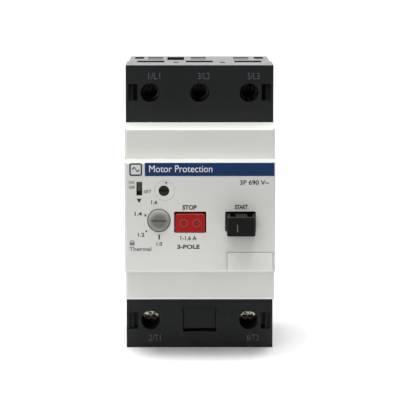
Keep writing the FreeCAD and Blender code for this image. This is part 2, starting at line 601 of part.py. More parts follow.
def make_control_fascia():
    """Light grey nose that carries the keys, the dial and the markings."""
    body = new_body("control_fascia")
    half_width = "cover_width / 2 - gap"
    pad(body, "fascia_block", FRONT, "cover_depth", "fascia_depth - cover_depth",
        [rectangle(f"-({half_width})", half_width, "fascia_bottom", "fascia_top")])
    dressed(body, "Chamfer", "fascia_bevel", "edge_bevel",
            lambda edge: at_depth(edge, "fascia_depth"))
    pocket(body, "fascia_inside", FRONT, "fascia_depth - fascia_wall",
           "fascia_depth - fascia_wall - cover_depth",
           [rectangle("-cover_width / 2 + wall", "cover_width / 2 - wall",
                      "fascia_bottom + wall", "fascia_top - wall")])
    pad(body, "dial_boss", FRONT, "dial_boss_rear", "fascia_depth - fascia_wall - dial_boss_rear",
        [circle("dial_x", "dial_z", "dial_boss_radius")])
    hook_heights = (("fascia_top - wall - gap - fascia_hook_width", "fascia_top - wall - gap"),
                    ("fascia_bottom + wall + gap", "fascia_bottom + wall + gap + fascia_hook_width"))
    pad(body, "fascia_hooks", FRONT, "fascia_hook_rear",
        "fascia_depth - fascia_wall - fascia_hook_rear",
        [rectangle(f"{side} * fascia_hook_x - hook_half_height",
                   f"{side} * fascia_hook_x + hook_half_height", low, high)
         for side in (-1, 1) for low, high in hook_heights])
    pad(body, "setting_guides", FRONT, "setting_bar_rear",
        "fascia_depth - fascia_wall - setting_bar_rear",
        [rectangle(left, f"{left} + setting_guide_width",
                   "setting_guide_low", "setting_guide_high")
         for left in ("setting_bar_left - gap - setting_guide_width", "setting_bar_right + gap")])
    pocket(body, "dial_recess", FRONT, "fascia_depth", "dial_recess_depth",
           [circle("dial_x", "dial_z", "dial_recess_radius")])
    pocket(body, "dial_bore", FRONT, "fascia_depth - dial_recess_depth",
           "fascia_depth - dial_recess_depth - dial_boss_rear",
           [circle("dial_x", "dial_z", "dial_shaft_radius + running")])
    pocket(body, "test_hole", FRONT, "fascia_depth", "fascia_wall",
           [circle("test_x", "test_z", "test_radius + running")])
    pocket(body, "slider_slot", FRONT, "fascia_depth", "fascia_wall",
           [rectangle("slider_x - slider_slot_half_width", "slider_x + slider_slot_half_width",
                      "slider_slot_low", "slider_slot_high")])
    pocket(body, "key_openings", FRONT, "fascia_depth", "fascia_wall",
           [rectangle("start_x - start_half_width", "start_x + start_half_width",
                      "start_bottom", "start_top"),
            rectangle("stop_x - stop_half_width", "stop_x + stop_half_width",
                      "stop_bottom", "stop_top")])
    dressed(body, "Fillet", "opening_corners", "key_corner / 2",
            lambda edge: runs_forward(edge) and is_key_corner(edge))
    pocket(body, "band_recess_cut", FRONT, "fascia_depth", "band_recess",
           [rectangle("band_left - gap", "band_right + overshoot", "band_low - gap", "band_high + gap")])
    pocket(body, "flap_recess", FRONT, "fascia_depth", "flap_recess_depth",
           [rectangle("flap_left - flap_gap", "flap_right + flap_gap",
                      "fascia_bottom - overshoot", "flap_top + flap_gap")])
    pin_reach = "flap_pin_length + gap + flap_gap"
    pocket(body, "flap_pin_holes", SIDE, f"flap_left - flap_gap - ({pin_reach})",
           f"flap_right - flap_left + 2 * flap_gap + 2 * ({pin_reach})",
           [circle("-flap_axis_depth", "flap_axis_height", "flap_pin_radius + running")],
           reverse=True)


def is_key_corner(edge):
    """Whether a forward-running edge is a corner of the START or STOP opening."""
    bounds = edge.BoundBox
    corners = [(value(f"{key}_x + {side} * {key}_half_width"), value(f"{key}_{end}"))
               for key in ("start", "stop") for side in (-1, 1) for end in ("bottom", "top")]
    return any(abs(bounds.XMin - x) < TOLERANCE and abs(bounds.ZMin - z) < TOLERANCE
               for x, z in corners)


def make_name_band():
    """Coloured strip let into the top of the fascia."""
    node("name_band", block("name_band", ("band_left", "band_right"),
                            ("fascia_depth - band_recess",
                             "fascia_depth - band_recess + band_thickness"),
                            ("band_low", "band_high")))


def make_terminal_blank():
    """Plate that covers the middle load terminal, with a finger gap below it."""
    plate = block("blank_plate", ("-blank_half_width + gap", "blank_half_width - gap"),
                  ("blank_plate_rear", "blank_plate_front"), ("blank_plate_bottom", "blank_top - gap"))
    legs = [block(f"blank_leg_{name}", sorted_pair(
        side, "blank_half_width - gap", "blank_half_width - gap - blank_leg_thickness"),
                  ("housing_depth - blank_recess", "blank_plate_rear + gap"),
                  ("blank_plate_bottom", "blank_top - gap"))
            for name, side in (("left", -1), ("right", 1))]
    node("terminal_blank", joined("terminal_blank", [plate] + legs))


def sorted_pair(side, outer, inner):
    """The two x of a strip between inner and outer, on the left (-1) or the right (1)."""
    return (f"-({outer})", f"-({inner})") if side < 0 else (inner, outer)


def make_housing_screws():
    """Four long screws from behind, through the rear base into the terminal housing."""
    screws = []
    for side_name, side in (("left", -1), ("right", 1)):
        for end_name, end in ENDS.items():
            name = f"fixing_{side_name}_{end_name}"
            x, z = f"{side} * fixing_x", f"{end} * fixing_z"
            head = rod(name + "_head", "forward", x, "fixing_seat_depth - fixing_head_depth", z,
                       "fixing_head_radius", "fixing_head_depth")
            shank = rod(name + "_shank", "forward", x, "fixing_seat_depth - overlap", z,
                        "fixing_radius", "fixing_tip - fixing_seat_depth + overlap")
            screw = joined(name + "_screw", [head, shank])
            cross = cross_recess(name, x, "fixing_seat_depth - fixing_head_depth", z, 1)
            screws.append(without(name, screw, cross))
    grouped("housing_screws", screws)


def cross_recess(name, x, face, z, facing):
    """Two crossed slots cut into a screw head whose face looks back (1) or forward (-1)."""
    depth = (f"{face} - overshoot", f"{face} + cross_depth")
    if facing < 0:
        depth = (f"{face} - cross_depth", f"{face} + overshoot")
    flat = block(name + "_slot_flat", (f"{x} - cross_length / 2", f"{x} + cross_length / 2"),
                 depth, (f"{z} - cross_width / 2", f"{z} + cross_width / 2"))
    upright = block(name + "_slot_upright", (f"{x} - cross_width / 2", f"{x} + cross_width / 2"),
                    depth, (f"{z} - cross_length / 2", f"{z} + cross_length / 2"))
    return [flat, upright]


# ---------------------------------------------------------------- terminals

def make_terminals():
    """A captive screw and a rising cage clamp at both ends of each pole."""
    for end_name, end in ENDS.items():
        for pole_name, x in POLES.items():
            z = f"{end} * terminal_height"
            make_terminal_screw(f"{end_name}_screw_{pole_name}", x, z)
            make_terminal_clamp(f"{end_name}_clamp_{pole_name}", x, z)


def make_terminal_screw(name, x, z):
    """Cross-headed screw: its tip bears on the conductor bar and its thread lifts the cage."""
    head = rod(name + "_head", "forward", x, "head_front - head_thickness", z, "head_radius",
               "head_thickness")
    shank = rod(name + "_shank", "forward", x, "shank_tip", z, "shank_radius",
                "head_front - head_thickness + overlap - shank_tip")
    blank = joined(name + "_blank", [head, shank])
    node(name, without(name, blank, cross_recess(name, x, "head_front", z, -1)))


def make_terminal_clamp(name, x, z):
    """Steel cage, open up and down for the wire, with the screw's bore in its front wall."""
    outside = block(name + "_outside", (f"{x} - cage_half_width", f"{x} + cage_half_width"),
                    ("cage_rear", "cage_front"),
                    (f"{z} - cage_half_height", f"{z} + cage_half_height"))
    window = block(name + "_window", (f"{x} - cage_half_width + cage_side",
                                      f"{x} + cage_half_width - cage_side"),
                   ("cage_rear + cage_floor", "cage_front - cage_bridge"),
                   (f"{z} - cage_half_height - overshoot",
                    f"{z} + cage_half_height + overshoot"))
    bore = rod(name + "_bore", "forward", x, "cage_front - cage_bridge - overshoot", z,
               "shank_radius + running", "cage_bridge + 2 * overshoot")
    node(name, without(name, outside, [window, bore]))


def make_line_conductors():
    """Strips from the line terminals to the upper fixed contacts."""
    conductors = []
    for pole_name, x in POLES.items():
        name = f"line_conductor_{pole_name}"
        across = (f"{x} - bar_half_width", f"{x} + bar_half_width")
        bar = block(name + "_bar", across, ("bar_rear", "bar_rear + bar_thickness"),
                    ("line_leg_height", "bar_outer"))
        leg = block(name + "_leg", across, ("strip_rear", "bar_rear + bar_thickness"),
                    ("line_leg_height", "line_leg_height + bar_thickness"))
        foot = block(name + "_foot", across, ("strip_rear", "strip_rear + strip_thickness"),
                     ("contact_centre + contact_half_span - tip_radius - strip_margin",
                      "line_leg_height + bar_thickness"))
        conductors.append(joined(name, [bar, leg, foot]))
    grouped("line_conductors", conductors)


def make_coil_strips():
    """Strips from the lower fixed contacts down to the trip coils."""
    strips = [block(f"coil_strip_{name}", (f"{x} - strip_half_width", f"{x} + strip_half_width"),
                    ("strip_rear", "strip_rear + strip_thickness"),
                    ("coil_strip_end",
                     "contact_centre - contact_half_span + tip_radius + strip_margin"))
              for name, x in POLES.items()]
    grouped("coil_strips", strips)


def make_load_conductors():
    """Strips from the bimetals to the load terminals."""
    conductors = []
    for pole_name, x in POLES.items():
        name = f"load_conductor_{pole_name}"
        across = (f"{x} - bar_half_width", f"{x} + bar_half_width")
        bar = block(name + "_bar", across, ("bar_rear", "bar_rear + bar_thickness"),
                    ("-bar_outer", "load_leg_height + bar_thickness"))
        leg = block(name + "_leg", across, ("bar_rear", "bimetal_rear + bimetal_thickness"),
                    ("load_leg_height", "load_leg_height + bar_thickness"))
        conductors.append(joined(name, [bar, leg]))
    grouped("load_conductors", conductors)


# ---------------------------------------------------------------- contacts and arc chutes

def make_fixed_tips():
    """Round contact tips on the fixed strips."""
    tips = [rod(f"fixed_tip_{pole_name}_{end_name}", "forward", x, "strip_rear + strip_thickness",
                f"contact_centre + {end} * contact_half_span", "tip_radius", "tip_thickness")
            for pole_name, x in POLES.items() for end_name, end in ENDS.items()]
    grouped("fixed_contact_tips", tips)


def make_contact_bridges():
    """Moving copper bridges and their tips, one bridge per pole."""
    bridges = [block(f"bridge_{name}", (f"{x} - bridge_half_width", f"{x} + bridge_half_width"),
                     ("bridge_rear", "bridge_rear + bridge_thickness"),
                     ("contact_centre - bridge_half_length", "contact_centre + bridge_half_length"))
               for name, x in POLES.items()]
    grouped("contact_bridges", bridges)
    tips = [rod(f"bridge_tip_{pole_name}_{end_name}", "forward", x, "bridge_rear - tip_thickness",
                f"contact_centre + {end} * contact_half_span", "tip_radius", "tip_thickness")
            for pole_name, x in POLES.items() for end_name, end in ENDS.items()]
    grouped("bridge_contact_tips", tips)


def make_contact_carrier():
    """Plastic beam with a hollow finger around each bridge and a pad for the START stem."""
    height = ("contact_centre - carrier_half_height", "contact_centre + carrier_half_height")
    beam = block("carrier_beam", ("-carrier_half_length", "carrier_half_length"),
                 ("carrier_rear", "carrier_front"), height)
    drive = block("carrier_drive_pad", ("start_x - drive_pad_half_width",
                                        "start_x + drive_pad_half_width"),
                  ("carrier_rear + overlap", "drive_pad_front"),
                  ("drive_pad_bottom", "contact_centre + carrier_half_height"))
    solids, windows = [beam, drive], []
    for name, x in POLES.items():
        solids.append(block(f"carrier_finger_{name}", (f"{x} - finger_half_width",
                                                       f"{x} + finger_half_width"),
                            ("finger_rear", "carrier_rear + overlap"), height))
        windows.append(block(f"carrier_window_{name}", (f"{x} - finger_window_half_width",
                                                        f"{x} + finger_window_half_width"),
                             ("finger_window_rear", "finger_window_front"),
                             (height[0] + " - overshoot", height[1] + " + overshoot")))
    blank = joined("carrier_blank", solids)
    node("contact_carrier", without("contact_carrier", blank, windows))


def make_contact_springs():
    """Springs that press the bridges against the back of their windows."""
    springs = []
    for name, x in POLES.items():
        start = "bridge_rear + bridge_thickness + contact_spring_wire + gap / 2"
        length = f"finger_window_front - contact_spring_wire - gap / 2 - ({start})"
        springs.append(coil(f"contact_spring_{name}", "forward", x, start, "contact_centre",
                            "contact_spring_radius", "contact_spring_wire", length,
                            f"({length}) / contact_spring_turns"))
    grouped("contact_springs", springs)


def make_opening_springs():
    """Two springs between the base and the carrier that open the contacts."""
    springs = []
    for name, side in (("left", -1), ("right", 1)):
        start = "opening_spring_seat + opening_spring_wire + gap / 2"
        length = f"carrier_rear - opening_spring_wire - gap / 2 - ({start})"
        springs.append(coil(f"opening_spring_{name}", "forward", f"{side} * fixing_x", start,
                            "contact_centre", "opening_spring_radius", "opening_spring_wire",
                            length, f"({length}) / opening_spring_turns"))
    grouped("opening_springs", springs)


def make_arc_chutes():
    """Stacks of notched steel plates beside the contacts, held by fibre cheeks."""
    plates, cheeks = [], []
    stacks = {"upper": ("arc_upper_low", "arc_upper_high", "arc_upper_low"),
              "lower": ("arc_lower_low", "arc_lower_high", "arc_lower_high")}
    for pole_name, x in POLES.items():
        for stack, (low, high, mouth) in stacks.items():
            for number in range(SIZES["arc_plate_count"]):
                name = f"arc_plate_{pole_name}_{stack}_{number + 1}"
                rear = f"arc_plate_first + {number} * arc_plate_step"
                depth = (rear, f"{rear} + arc_plate_thickness")
                sheet_metal = block(name + "_sheet", (f"{x} - arc_plate_half_width",
                                                      f"{x} + arc_plate_half_width"),
                                    depth, (low, high))
                notch = block(name + "_notch", (f"{x} - arc_notch_half_width",
                                                f"{x} + arc_notch_half_width"),
                              (f"{rear} - overshoot", f"{rear} + arc_plate_thickness + overshoot"),
                              (f"{mouth} - arc_notch_depth", f"{mouth} + arc_notch_depth"))
                plates.append(without(name, sheet_metal, [notch]))
            for side_name, side in (("left", -1), ("right", 1)):
                inner, outer = sorted_pair(side, "arc_cheek_half_width", "arc_plate_half_width")
                cheeks.append(block(f"arc_cheek_{pole_name}_{stack}_{side_name}",
                                    (f"{x} + ({inner})", f"{x} + ({outer})"),
                                    ("strip_rear + strip_thickness", "arc_cheek_front"),
                                    (low, high)))
    grouped("arc_plates", plates)
    grouped("arc_cheeks", cheeks)


# ---------------------------------------------------------------- magnetic and thermal trips

def make_magnetic_trips():
    """Coil, steel yoke and fixed core of each pole."""
    yokes, cores, coils = [], [], []
    z = "magnet_height"
    height = (f"{z} - magnet_half_height", f"{z} + magnet_half_height")
    for name, x in POLES.items():
        outside = block(f"yoke_outside_{name}", (f"{x} - yoke_half_width", f"{x} + yoke_half_width"),
                        ("yoke_rear", "yoke_front"), height)
        inside = block(f"yoke_inside_{name}", (f"{x} - yoke_half_width + yoke_wall",
                                               f"{x} + yoke_half_width - yoke_wall"),
                       ("yoke_rear + yoke_wall", "yoke_front - yoke_wall"),
                       (height[0] + " - overshoot", height[1] + " + overshoot"))
        seat = rod(f"yoke_seat_{name}", "forward", x, "yoke_front - yoke_wall - overshoot", z,
                   "core_radius", "yoke_wall + 2 * overshoot")
        yokes.append(without(f"yoke_{name}", outside, [inside, seat]))
        core = rod(f"core_outside_{name}", "forward", x, "core_rear", z, "core_radius",
                   "yoke_front - core_rear")
        bore = rod(f"core_bore_{name}", "forward", x, "core_rear - overshoot", z, "core_bore",
                   "yoke_front - core_rear + 2 * overshoot")
        cores.append(without(f"core_{name}", core, [bore]))
        coils.append(coil(f"trip_coil_{name}", "forward", x, "coil_start", z, "coil_radius",
                          "coil_wire", "coil_length", "coil_pitch"))
    grouped("magnet_yokes", yokes)
    grouped("magnet_cores", cores)
    grouped("trip_coils", coils)


def make_trip_plungers():
    """Steel plungers whose rods pass through the fixed cores to the trip bar."""
    for name, x in POLES.items():
        body = rod(f"plunger_body_{name}", "forward", x, "plunger_rear", "magnet_height",
                   "core_radius", "plunger_front - plunger_rear")
        push_rod = rod(f"plunger_rod_{name}", "forward", x, "plunger_front - overlap",
                       "magnet_height", "plunger_rod_radius",
                       "plunger_rod_front - plunger_front + overlap")
        node(f"trip_plunger_{name}", joined(f"trip_plunger_{name}", [body, push_rod]))


def make_thermal_trips():
    """Upright bimetal strips, each in its heater winding."""
    bimetals, heaters = [], []
    for name, x in POLES.items():
        bimetals.append(block(f"bimetal_{name}", (f"{x} - bimetal_half_width",
                                                  f"{x} + bimetal_half_width"),
                              ("bimetal_rear", "bimetal_rear + bimetal_thickness"),
                              ("load_leg_height + bar_thickness", "bimetal_top")))
        heaters.append(coil(f"heater_{name}", "up", x, "bimetal_rear + bimetal_thickness / 2",
                            "heater_start", "heater_radius", "heater_wire", "heater_length",
                            "heater_pitch"))
    grouped("bimetal_strips", bimetals)
    grouped("heater_windings", heaters)


def make_trip_bar():
    """Bar across the poles that the bimetals, the plungers and the test button turn."""
    length = "2 * trip_bar_half_length"
    web_height = ("trip_axis_height - trip_web_half_height",
                  "trip_axis_height + trip_web_half_height")
    bar = rod("trip_bar_core", "right", "-trip_bar_half_length", "trip_axis_depth",
              "trip_axis_height", "trip_bar_radius", length)
    solids = [bar]
    for name, x in POLES.items():
        across = (f"{x} - trip_finger_half_width", f"{x} + trip_finger_half_width")
        solids.append(block(f"trip_foot_{name}", across, ("trip_foot_rear", "trip_foot_front"),
                            ("trip_foot_bottom", "trip_axis_height + trip_web_half_height")))
        solids.append(block(f"trip_foot_web_{name}", across, ("trip_foot_rear", "trip_axis_depth"),
                            web_height))
        solids.append(block(f"trip_head_{name}", across, ("trip_head_rear", "trip_head_front"),
                            ("trip_axis_height", "trip_head_top")))
        solids.append(block(f"trip_toe_{name}", across, ("trip_head_rear", "trip_toe_front"),
                            ("trip_head_top - trip_toe_thickness", "trip_head_top")))
    arm_x = ("test_x - trip_arm_half_width", "test_x + trip_arm_half_width")
    solids.append(block("trip_arm_web", arm_x, ("trip_axis_depth", "trip_arm_front"),
                        web_height))
    solids.append(block("trip_arm", arm_x, ("trip_arm_rear", "trip_arm_front"),
                        (web_height[0], "trip_arm_top")))
    blank = joined("trip_bar_blank", solids)
    bore = rod("trip_bar_bore", "right", "-trip_bar_half_length - overshoot", "trip_axis_depth",
               "trip_axis_height", "trip_shaft_radius + running", length + " + 2 * overshoot")
    node("trip_bar", without("trip_bar", blank, [bore]))
    node("trip_shaft", rod("trip_shaft", "right", "-base_width / 2 + wall", "trip_axis_depth",
                           "trip_axis_height", "trip_shaft_radius", "base_width - 2 * wall"))


def make_latch_pawl():
    """Pawl that drops in front of the carrier beam, and the pin it swings on."""
    x = ("pawl_x - pawl_half_width", "pawl_x + pawl_half_width")
    arm_height = ("pawl_axis_height - pawl_arm_half_height",
                  "pawl_axis_height + pawl_arm_half_height")
    boss = rod("pawl_boss", "right", x[0], "pawl_axis_depth", "pawl_axis_height",
               "pawl_boss_radius", "2 * pawl_half_width")
    arm = block("pawl_arm", x, ("pawl_nose_rear", "pawl_axis_depth"),
                arm_height)
    nose = block("pawl_nose", x, ("pawl_nose_rear", "pawl_nose_rear + pawl_nose_thickness"),
                 ("pawl_nose_low", arm_height[1]))
    blank = joined("pawl_blank", [boss, arm, nose])
    bore = rod("pawl_bore", "right", x[0] + " - overshoot", "pawl_axis_depth", "pawl_axis_height",
               "pawl_pin_radius + running", "2 * (pawl_half_width + overshoot)")
    node("latch_pawl", without("latch_pawl", blank, [bore]))
    node("pawl_pin", pawl_rod("pawl_pin"))


def pawl_rod(name):
    """A rod in the place of the pawl's pin."""
    return rod(name, "right", "pawl_x - pawl_half_width - pawl_pin_reach", "pawl_axis_depth",
               "pawl_axis_height", "pawl_pin_radius", "2 * (pawl_half_width + pawl_pin_reach)")


# ---------------------------------------------------------------- mechanism

def make_mechanism_plate():
    """Steel plate across the housing that carries the rocker and the pawl."""
    sheet_metal = block("plate_sheet", ("-plate_half_width", "plate_half_width"),
                        ("plate_rear", "plate_front"), ("-plate_half_height", "plate_half_height"))
    ears = [block(f"rocker_ear_{name}", ("rocker_x - ear_half_width", "rocker_x + ear_half_width"),
                  ("plate_rear", "ear_front"), heights)
            for name, heights in (
                ("upper", ("rocker_height + ear_inner", "rocker_height + ear_inner + ear_thickness")),
                ("lower", ("rocker_height - ear_inner - ear_thickness",
                           "rocker_height - ear_inner")))]
    inner, outer = "pawl_half_width + pawl_cheek_gap", (
        "pawl_half_width + pawl_cheek_gap + pawl_cheek_thickness")
    cheeks = [block(f"pawl_cheek_{name}", (f"pawl_x + ({low})", f"pawl_x + ({high})"),
                    ("pawl_axis_depth - pawl_cheek_half_height", "plate_front"),
                    ("pawl_axis_height - pawl_cheek_half_height",
                     "pawl_axis_height + pawl_cheek_half_height"))
              for name, (low, high) in (("left", sorted_pair(-1, outer, inner)),
                                        ("right", sorted_pair(1, outer, inner)))]
    blank = joined("plate_blank", [sheet_metal] + ears + cheeks)
    window = block("plate_window", ("plate_window_left", "plate_window_right"),
                   ("plate_rear - overshoot", "plate_front + overshoot"),
                   ("plate_window_low", "plate_window_high"))
    test_hole = rod("plate_test_hole", "forward", "test_x", "plate_rear - overshoot", "test_z",
                    "test_stem_radius + running", "plate_front - plate_rear + 2 * overshoot")
    holes = [test_hole, rocker_rod("plate_rocker_hole"), pawl_rod("plate_pawl_hole")]
    node("mechanism_plate", without("mechanism_plate", blank, [window] + holes))
    node("rocker_pin", rocker_rod("rocker_pin"))


def rocker_rod(name):
    """A rod in the place of the rocker's pin."""
    return rod(name, "up", "rocker_x", "rocker_axis_depth",
               "rocker_height - rocker_pin_half_length", "rocker_pin_radius",
               "2 * rocker_pin_half_length")


def make_rocker_lever():
    """Two-armed lever: START pushes one end in and the other end pushes STOP out."""
    low = "rocker_height - rocker_half_height"
    tall = "2 * rocker_half_height"
    boss = rod("rocker_boss", "up", "rocker_x", "rocker_axis_depth", low, "rocker_boss_radius", tall)
    solids = [boss]
    for name, side in (("start", 1), ("stop", -1)):
        tip_x = f"rocker_x + {side} * rocker_arm * cos(rocker_tilt)"
        tip_depth = f"rocker_axis_depth + {side} * rocker_arm * sin(rocker_tilt)"
        solids.append(rod(f"rocker_tip_{name}", "up", tip_x, tip_depth, low, "rocker_tip_radius",
                          tall))
    arms = block("rocker_arms", ("-rocker_arm", "rocker_arm"),
                 ("-rocker_thickness / 2", "rocker_thickness / 2"), ("0", tall))
    arms.Placement.Rotation = FreeCAD.Rotation(FreeCAD.Vector(0, 0, 1), -value("rocker_tilt"))
    place(arms, "rocker_x - rocker_arm * cos(rocker_tilt) - rocker_thickness / 2 * sin(rocker_tilt)",
          "rocker_axis_depth - rocker_arm * sin(rocker_tilt)"
          " + rocker_thickness / 2 * cos(rocker_tilt)", low)
    blank = joined("rocker_blank", solids + [arms])
    bore = rod("rocker_bore", "up", "rocker_x", "rocker_axis_depth", low + " - overshoot",
               "rocker_pin_radius + running", tall + " + 2 * overshoot")
    node("rocker_lever", without("rocker_lever", blank, [bore]))


def make_start_button():
    """Black START key, proud of the fascia, with a sloped top and a lower lip."""
    body = new_body("start_button")
    left = "start_x - start_half_width + start_left_gap"
    right = "start_x + start_half_width - key_clearance"
    low, high = "start_bottom + key_clearance", "start_top - key_top_gap"
    pad(body, "start_skirt", SIDE, left, f"{right} - ({left})",
        [outline([("-key_skirt_rear", low), ("-start_cap_rear", low),
                  ("-start_cap_rear", "start_bottom + key_clearance - start_cap_drop"),
                  ("-start_face", "start_bottom + key_clearance - start_cap_drop"),
                  ("-start_face", f"{high} - start_slope"),
                  ("-start_slope_rear", high), ("-key_skirt_rear", high)])])
    dressed(body, "Fillet", "start_corners", "key_corner",
            lambda edge: runs_forward(edge) and edge.BoundBox.ZMin < value("start_bottom")
            or at_depth(edge, "start_face") and edge.BoundBox.XLength < TOLERANCE)
    pocket(body, "start_grips", FRONT, "start_face - start_grip_setback", "start_grip_depth",
           [rectangle(f"start_grip_centre + {side} * start_grip_offset - start_grip_half_width",
                      f"start_grip_centre + {side} * start_grip_offset + start_grip_half_width",
                      f"{high} - start_slope - start_grip_recess", f"{high} + overshoot")
            for side in (-1, 1)])
    low, high = "rocker_height - key_stem_half_height", "rocker_height + key_stem_half_height"
    shoulder_rear = f"{ROCKER_TIP_IN_FRONT} + rocker_tip_radius + gap"
    pad(body, "start_shoulder", FRONT, shoulder_rear, f"key_skirt_rear - ({shoulder_rear})",
        [rectangle("start_x - start_shoulder_inner", "start_x + start_stem_outer", low, high)])
    pad(body, "start_stem", FRONT, "drive_pad_front + gap",
        "key_skirt_rear - drive_pad_front - gap",
        [rectangle("start_x + start_stem_inner", "start_x + start_stem_outer", low, high)])


def make_stop_button():
    """Red STOP key, level with the fascia when the breaker is off."""
    body = new_body("stop_button")
    half_width = "stop_half_width - stop_side_gap"
    low, high = "stop_bottom + stop_bottom_gap", "stop_top - key_top_gap"
    middle = f"({low} + {high}) / 2"
    pad(body, "stop_skirt", FRONT, "key_skirt_rear", "stop_face - key_skirt_rear",
        [rectangle(f"stop_x - ({half_width})", f"stop_x + {half_width}", low, high)])
    dressed(body, "Fillet", "stop_corners", "key_corner", runs_forward)
    dressed(body, "Fillet", "stop_edge", "key_bevel", lambda edge: at_depth(edge, "stop_face"))
    pad(body, "stop_rings", FRONT, "stop_face", "stop_ring_raise",
        [circle(f"stop_x + {side} * stop_ring_offset", middle, "stop_ring_outer")
         for side in (-1, 1)])
    pocket(body, "stop_ring_centres", FRONT, "stop_face + stop_ring_raise", "stop_ring_raise",
           [circle(f"stop_x + {side} * stop_ring_offset", middle, "stop_ring_inner")
            for side in (-1, 1)])
    stem_rear = f"{ROCKER_TIP_BEHIND} + rocker_tip_radius + gap"
    pad(body, "stop_stem", FRONT, stem_rear, f"key_skirt_rear - ({stem_rear})",
        [around("stop_x", "stop_stem_half_width", "rocker_height", "key_stem_half_height")])


# ---------------------------------------------------------------- small controls

def make_setting_dial():
    """Domed dial with a driver slot, a shaft through the fascia and an eccentric pin."""
    body = new_body("setting_dial")
    pad(body, "dial_head", FRONT, "fascia_depth - dial_recess_depth + gap",
        "dial_face - fascia_depth + dial_recess_depth - gap",
        [circle("dial_x", "dial_z", "dial_head_radius")])
    dressed(body, "Fillet", "dial_dome_round", "dial_dome", lambda edge: at_depth(edge, "dial_face"))
    pocket(body, "dial_slot", FRONT, "dial_face", "dial_slot_depth",
           [around("dial_x", "dial_head_radius + overshoot", "dial_z", "dial_slot_half_width")])
    pad(body, "dial_shaft", FRONT, "dial_shaft_rear",
        "fascia_depth - dial_recess_depth + gap - dial_shaft_rear",
        [circle("dial_x", "dial_z", "dial_shaft_radius")])
    pad(body, "dial_eccentric", FRONT, "eccentric_rear", "dial_shaft_rear - eccentric_rear",
        [circle("dial_x - eccentric_throw", "dial_z", "eccentric_radius")])


def make_setting_bar():
    """Flat bar that the dial's eccentric pin moves up and down."""
    plate = block("setting_plate", ("setting_bar_left", "setting_bar_right"),
                  ("setting_bar_rear", "setting_bar_front"), ("setting_bar_bottom", "setting_bar_top"))
    slot = block("setting_slot", ("dial_x - eccentric_throw / 2 - setting_slot_half_length",
                                  "dial_x - eccentric_throw / 2 + setting_slot_half_length"),
                 ("setting_bar_rear - overshoot", "setting_bar_front + overshoot"),
                 ("dial_z - setting_slot_half_height", "dial_z + setting_slot_half_height"))
    node("setting_bar", without("setting_bar", plate, [slot]))


def make_test_button():
    """Round test button with a slot, a collar for its spring and a long stem."""
    head = rod("test_head", "forward", "test_x", "test_head_rear", "test_z", "test_radius",
               "test_face - test_head_rear")
    stem = rod("test_stem", "forward", "test_x", "test_stem_rear", "test_z", "test_stem_radius",
               "test_head_rear - test_stem_rear + overlap")
    collar = rod("test_collar", "forward", "test_x", "test_collar_rear", "test_z",
                 "test_collar_radius", "test_collar_thickness")
    blank = joined("test_blank", [head, stem, collar])
    slot = block("test_slot", ("test_x - test_radius - overshoot", "test_x + test_radius + overshoot"),
                 ("test_face - test_slot_depth", "test_face + overshoot"),
                 ("test_z - test_slot_half_width", "test_z + test_slot_half_width"))
    node("test_button", without("test_button", blank, [slot]))
    start = "plate_front + test_spring_wire + gap / 2"
    length = f"test_collar_rear - test_spring_wire - gap / 2 - ({start})"
    node("test_spring", coil("test_spring", "forward", "test_x", start, "test_z",
                             "test_spring_radius", "test_spring_wire", length,
                             f"({length}) / test_spring_turns"))


def make_mode_slider():
    """Two-position slider: a plate behind the fascia with a nub in the slot."""
    plate = block("slider_plate", ("slider_x - slider_plate_half_width",
                                   "slider_x + slider_plate_half_width"),
                  ("slider_plate_rear", "slider_plate_front"),
                  ("slider_plate_low", "slider_plate_high"))
    nub = block("slider_nub", ("slider_x - slider_nub_half_width", "slider_x + slider_nub_half_width"),
                ("slider_plate_front - overlap", "slider_nub_front"), ("slider_nub_low", "slider_nub_high"))
    grooves = []
    for number in range(SIZES["slider_groove_count"]):
        low = f"slider_nub_low + slider_groove_first + {number} * slider_groove_step"
        grooves.append(block(f"slider_groove_{number}",
                             ("slider_x - slider_nub_half_width - overshoot",
                              "slider_x + slider_nub_half_width + overshoot"),
                             ("slider_nub_front - slider_groove", "slider_nub_front + overshoot"),
                             (low, f"{low} + slider_groove")))
    blank = joined("slider_blank", [plate, nub])
    node("mode_slider", without("mode_slider", blank, grooves))


def make_marker_flap():
    """Small hinged flap at the lower right, with a stub pin at each end."""
    body = new_body("marker_flap")
    rear = "flap_front - flap_thickness"
    pad(body, "flap_plate", FRONT, rear, "flap_thickness",
        [rectangle("flap_left", "flap_right", "flap_bottom", "flap_top")])
    dressed(body, "Fillet", "flap_lower_edges", "flap_thickness / 2 - running",
            lambda edge: runs_across(edge)
            and abs(edge.BoundBox.ZMin - value("flap_bottom")) < TOLERANCE)
    for name, start in (("left", "flap_left - flap_pin_length - flap_gap"), ("right", "flap_right")):
        pad(body, f"flap_pin_{name}", SIDE, start, "flap_pin_length + flap_gap",
            [circle("-flap_axis_depth", "flap_axis_height", "flap_pin_radius")])


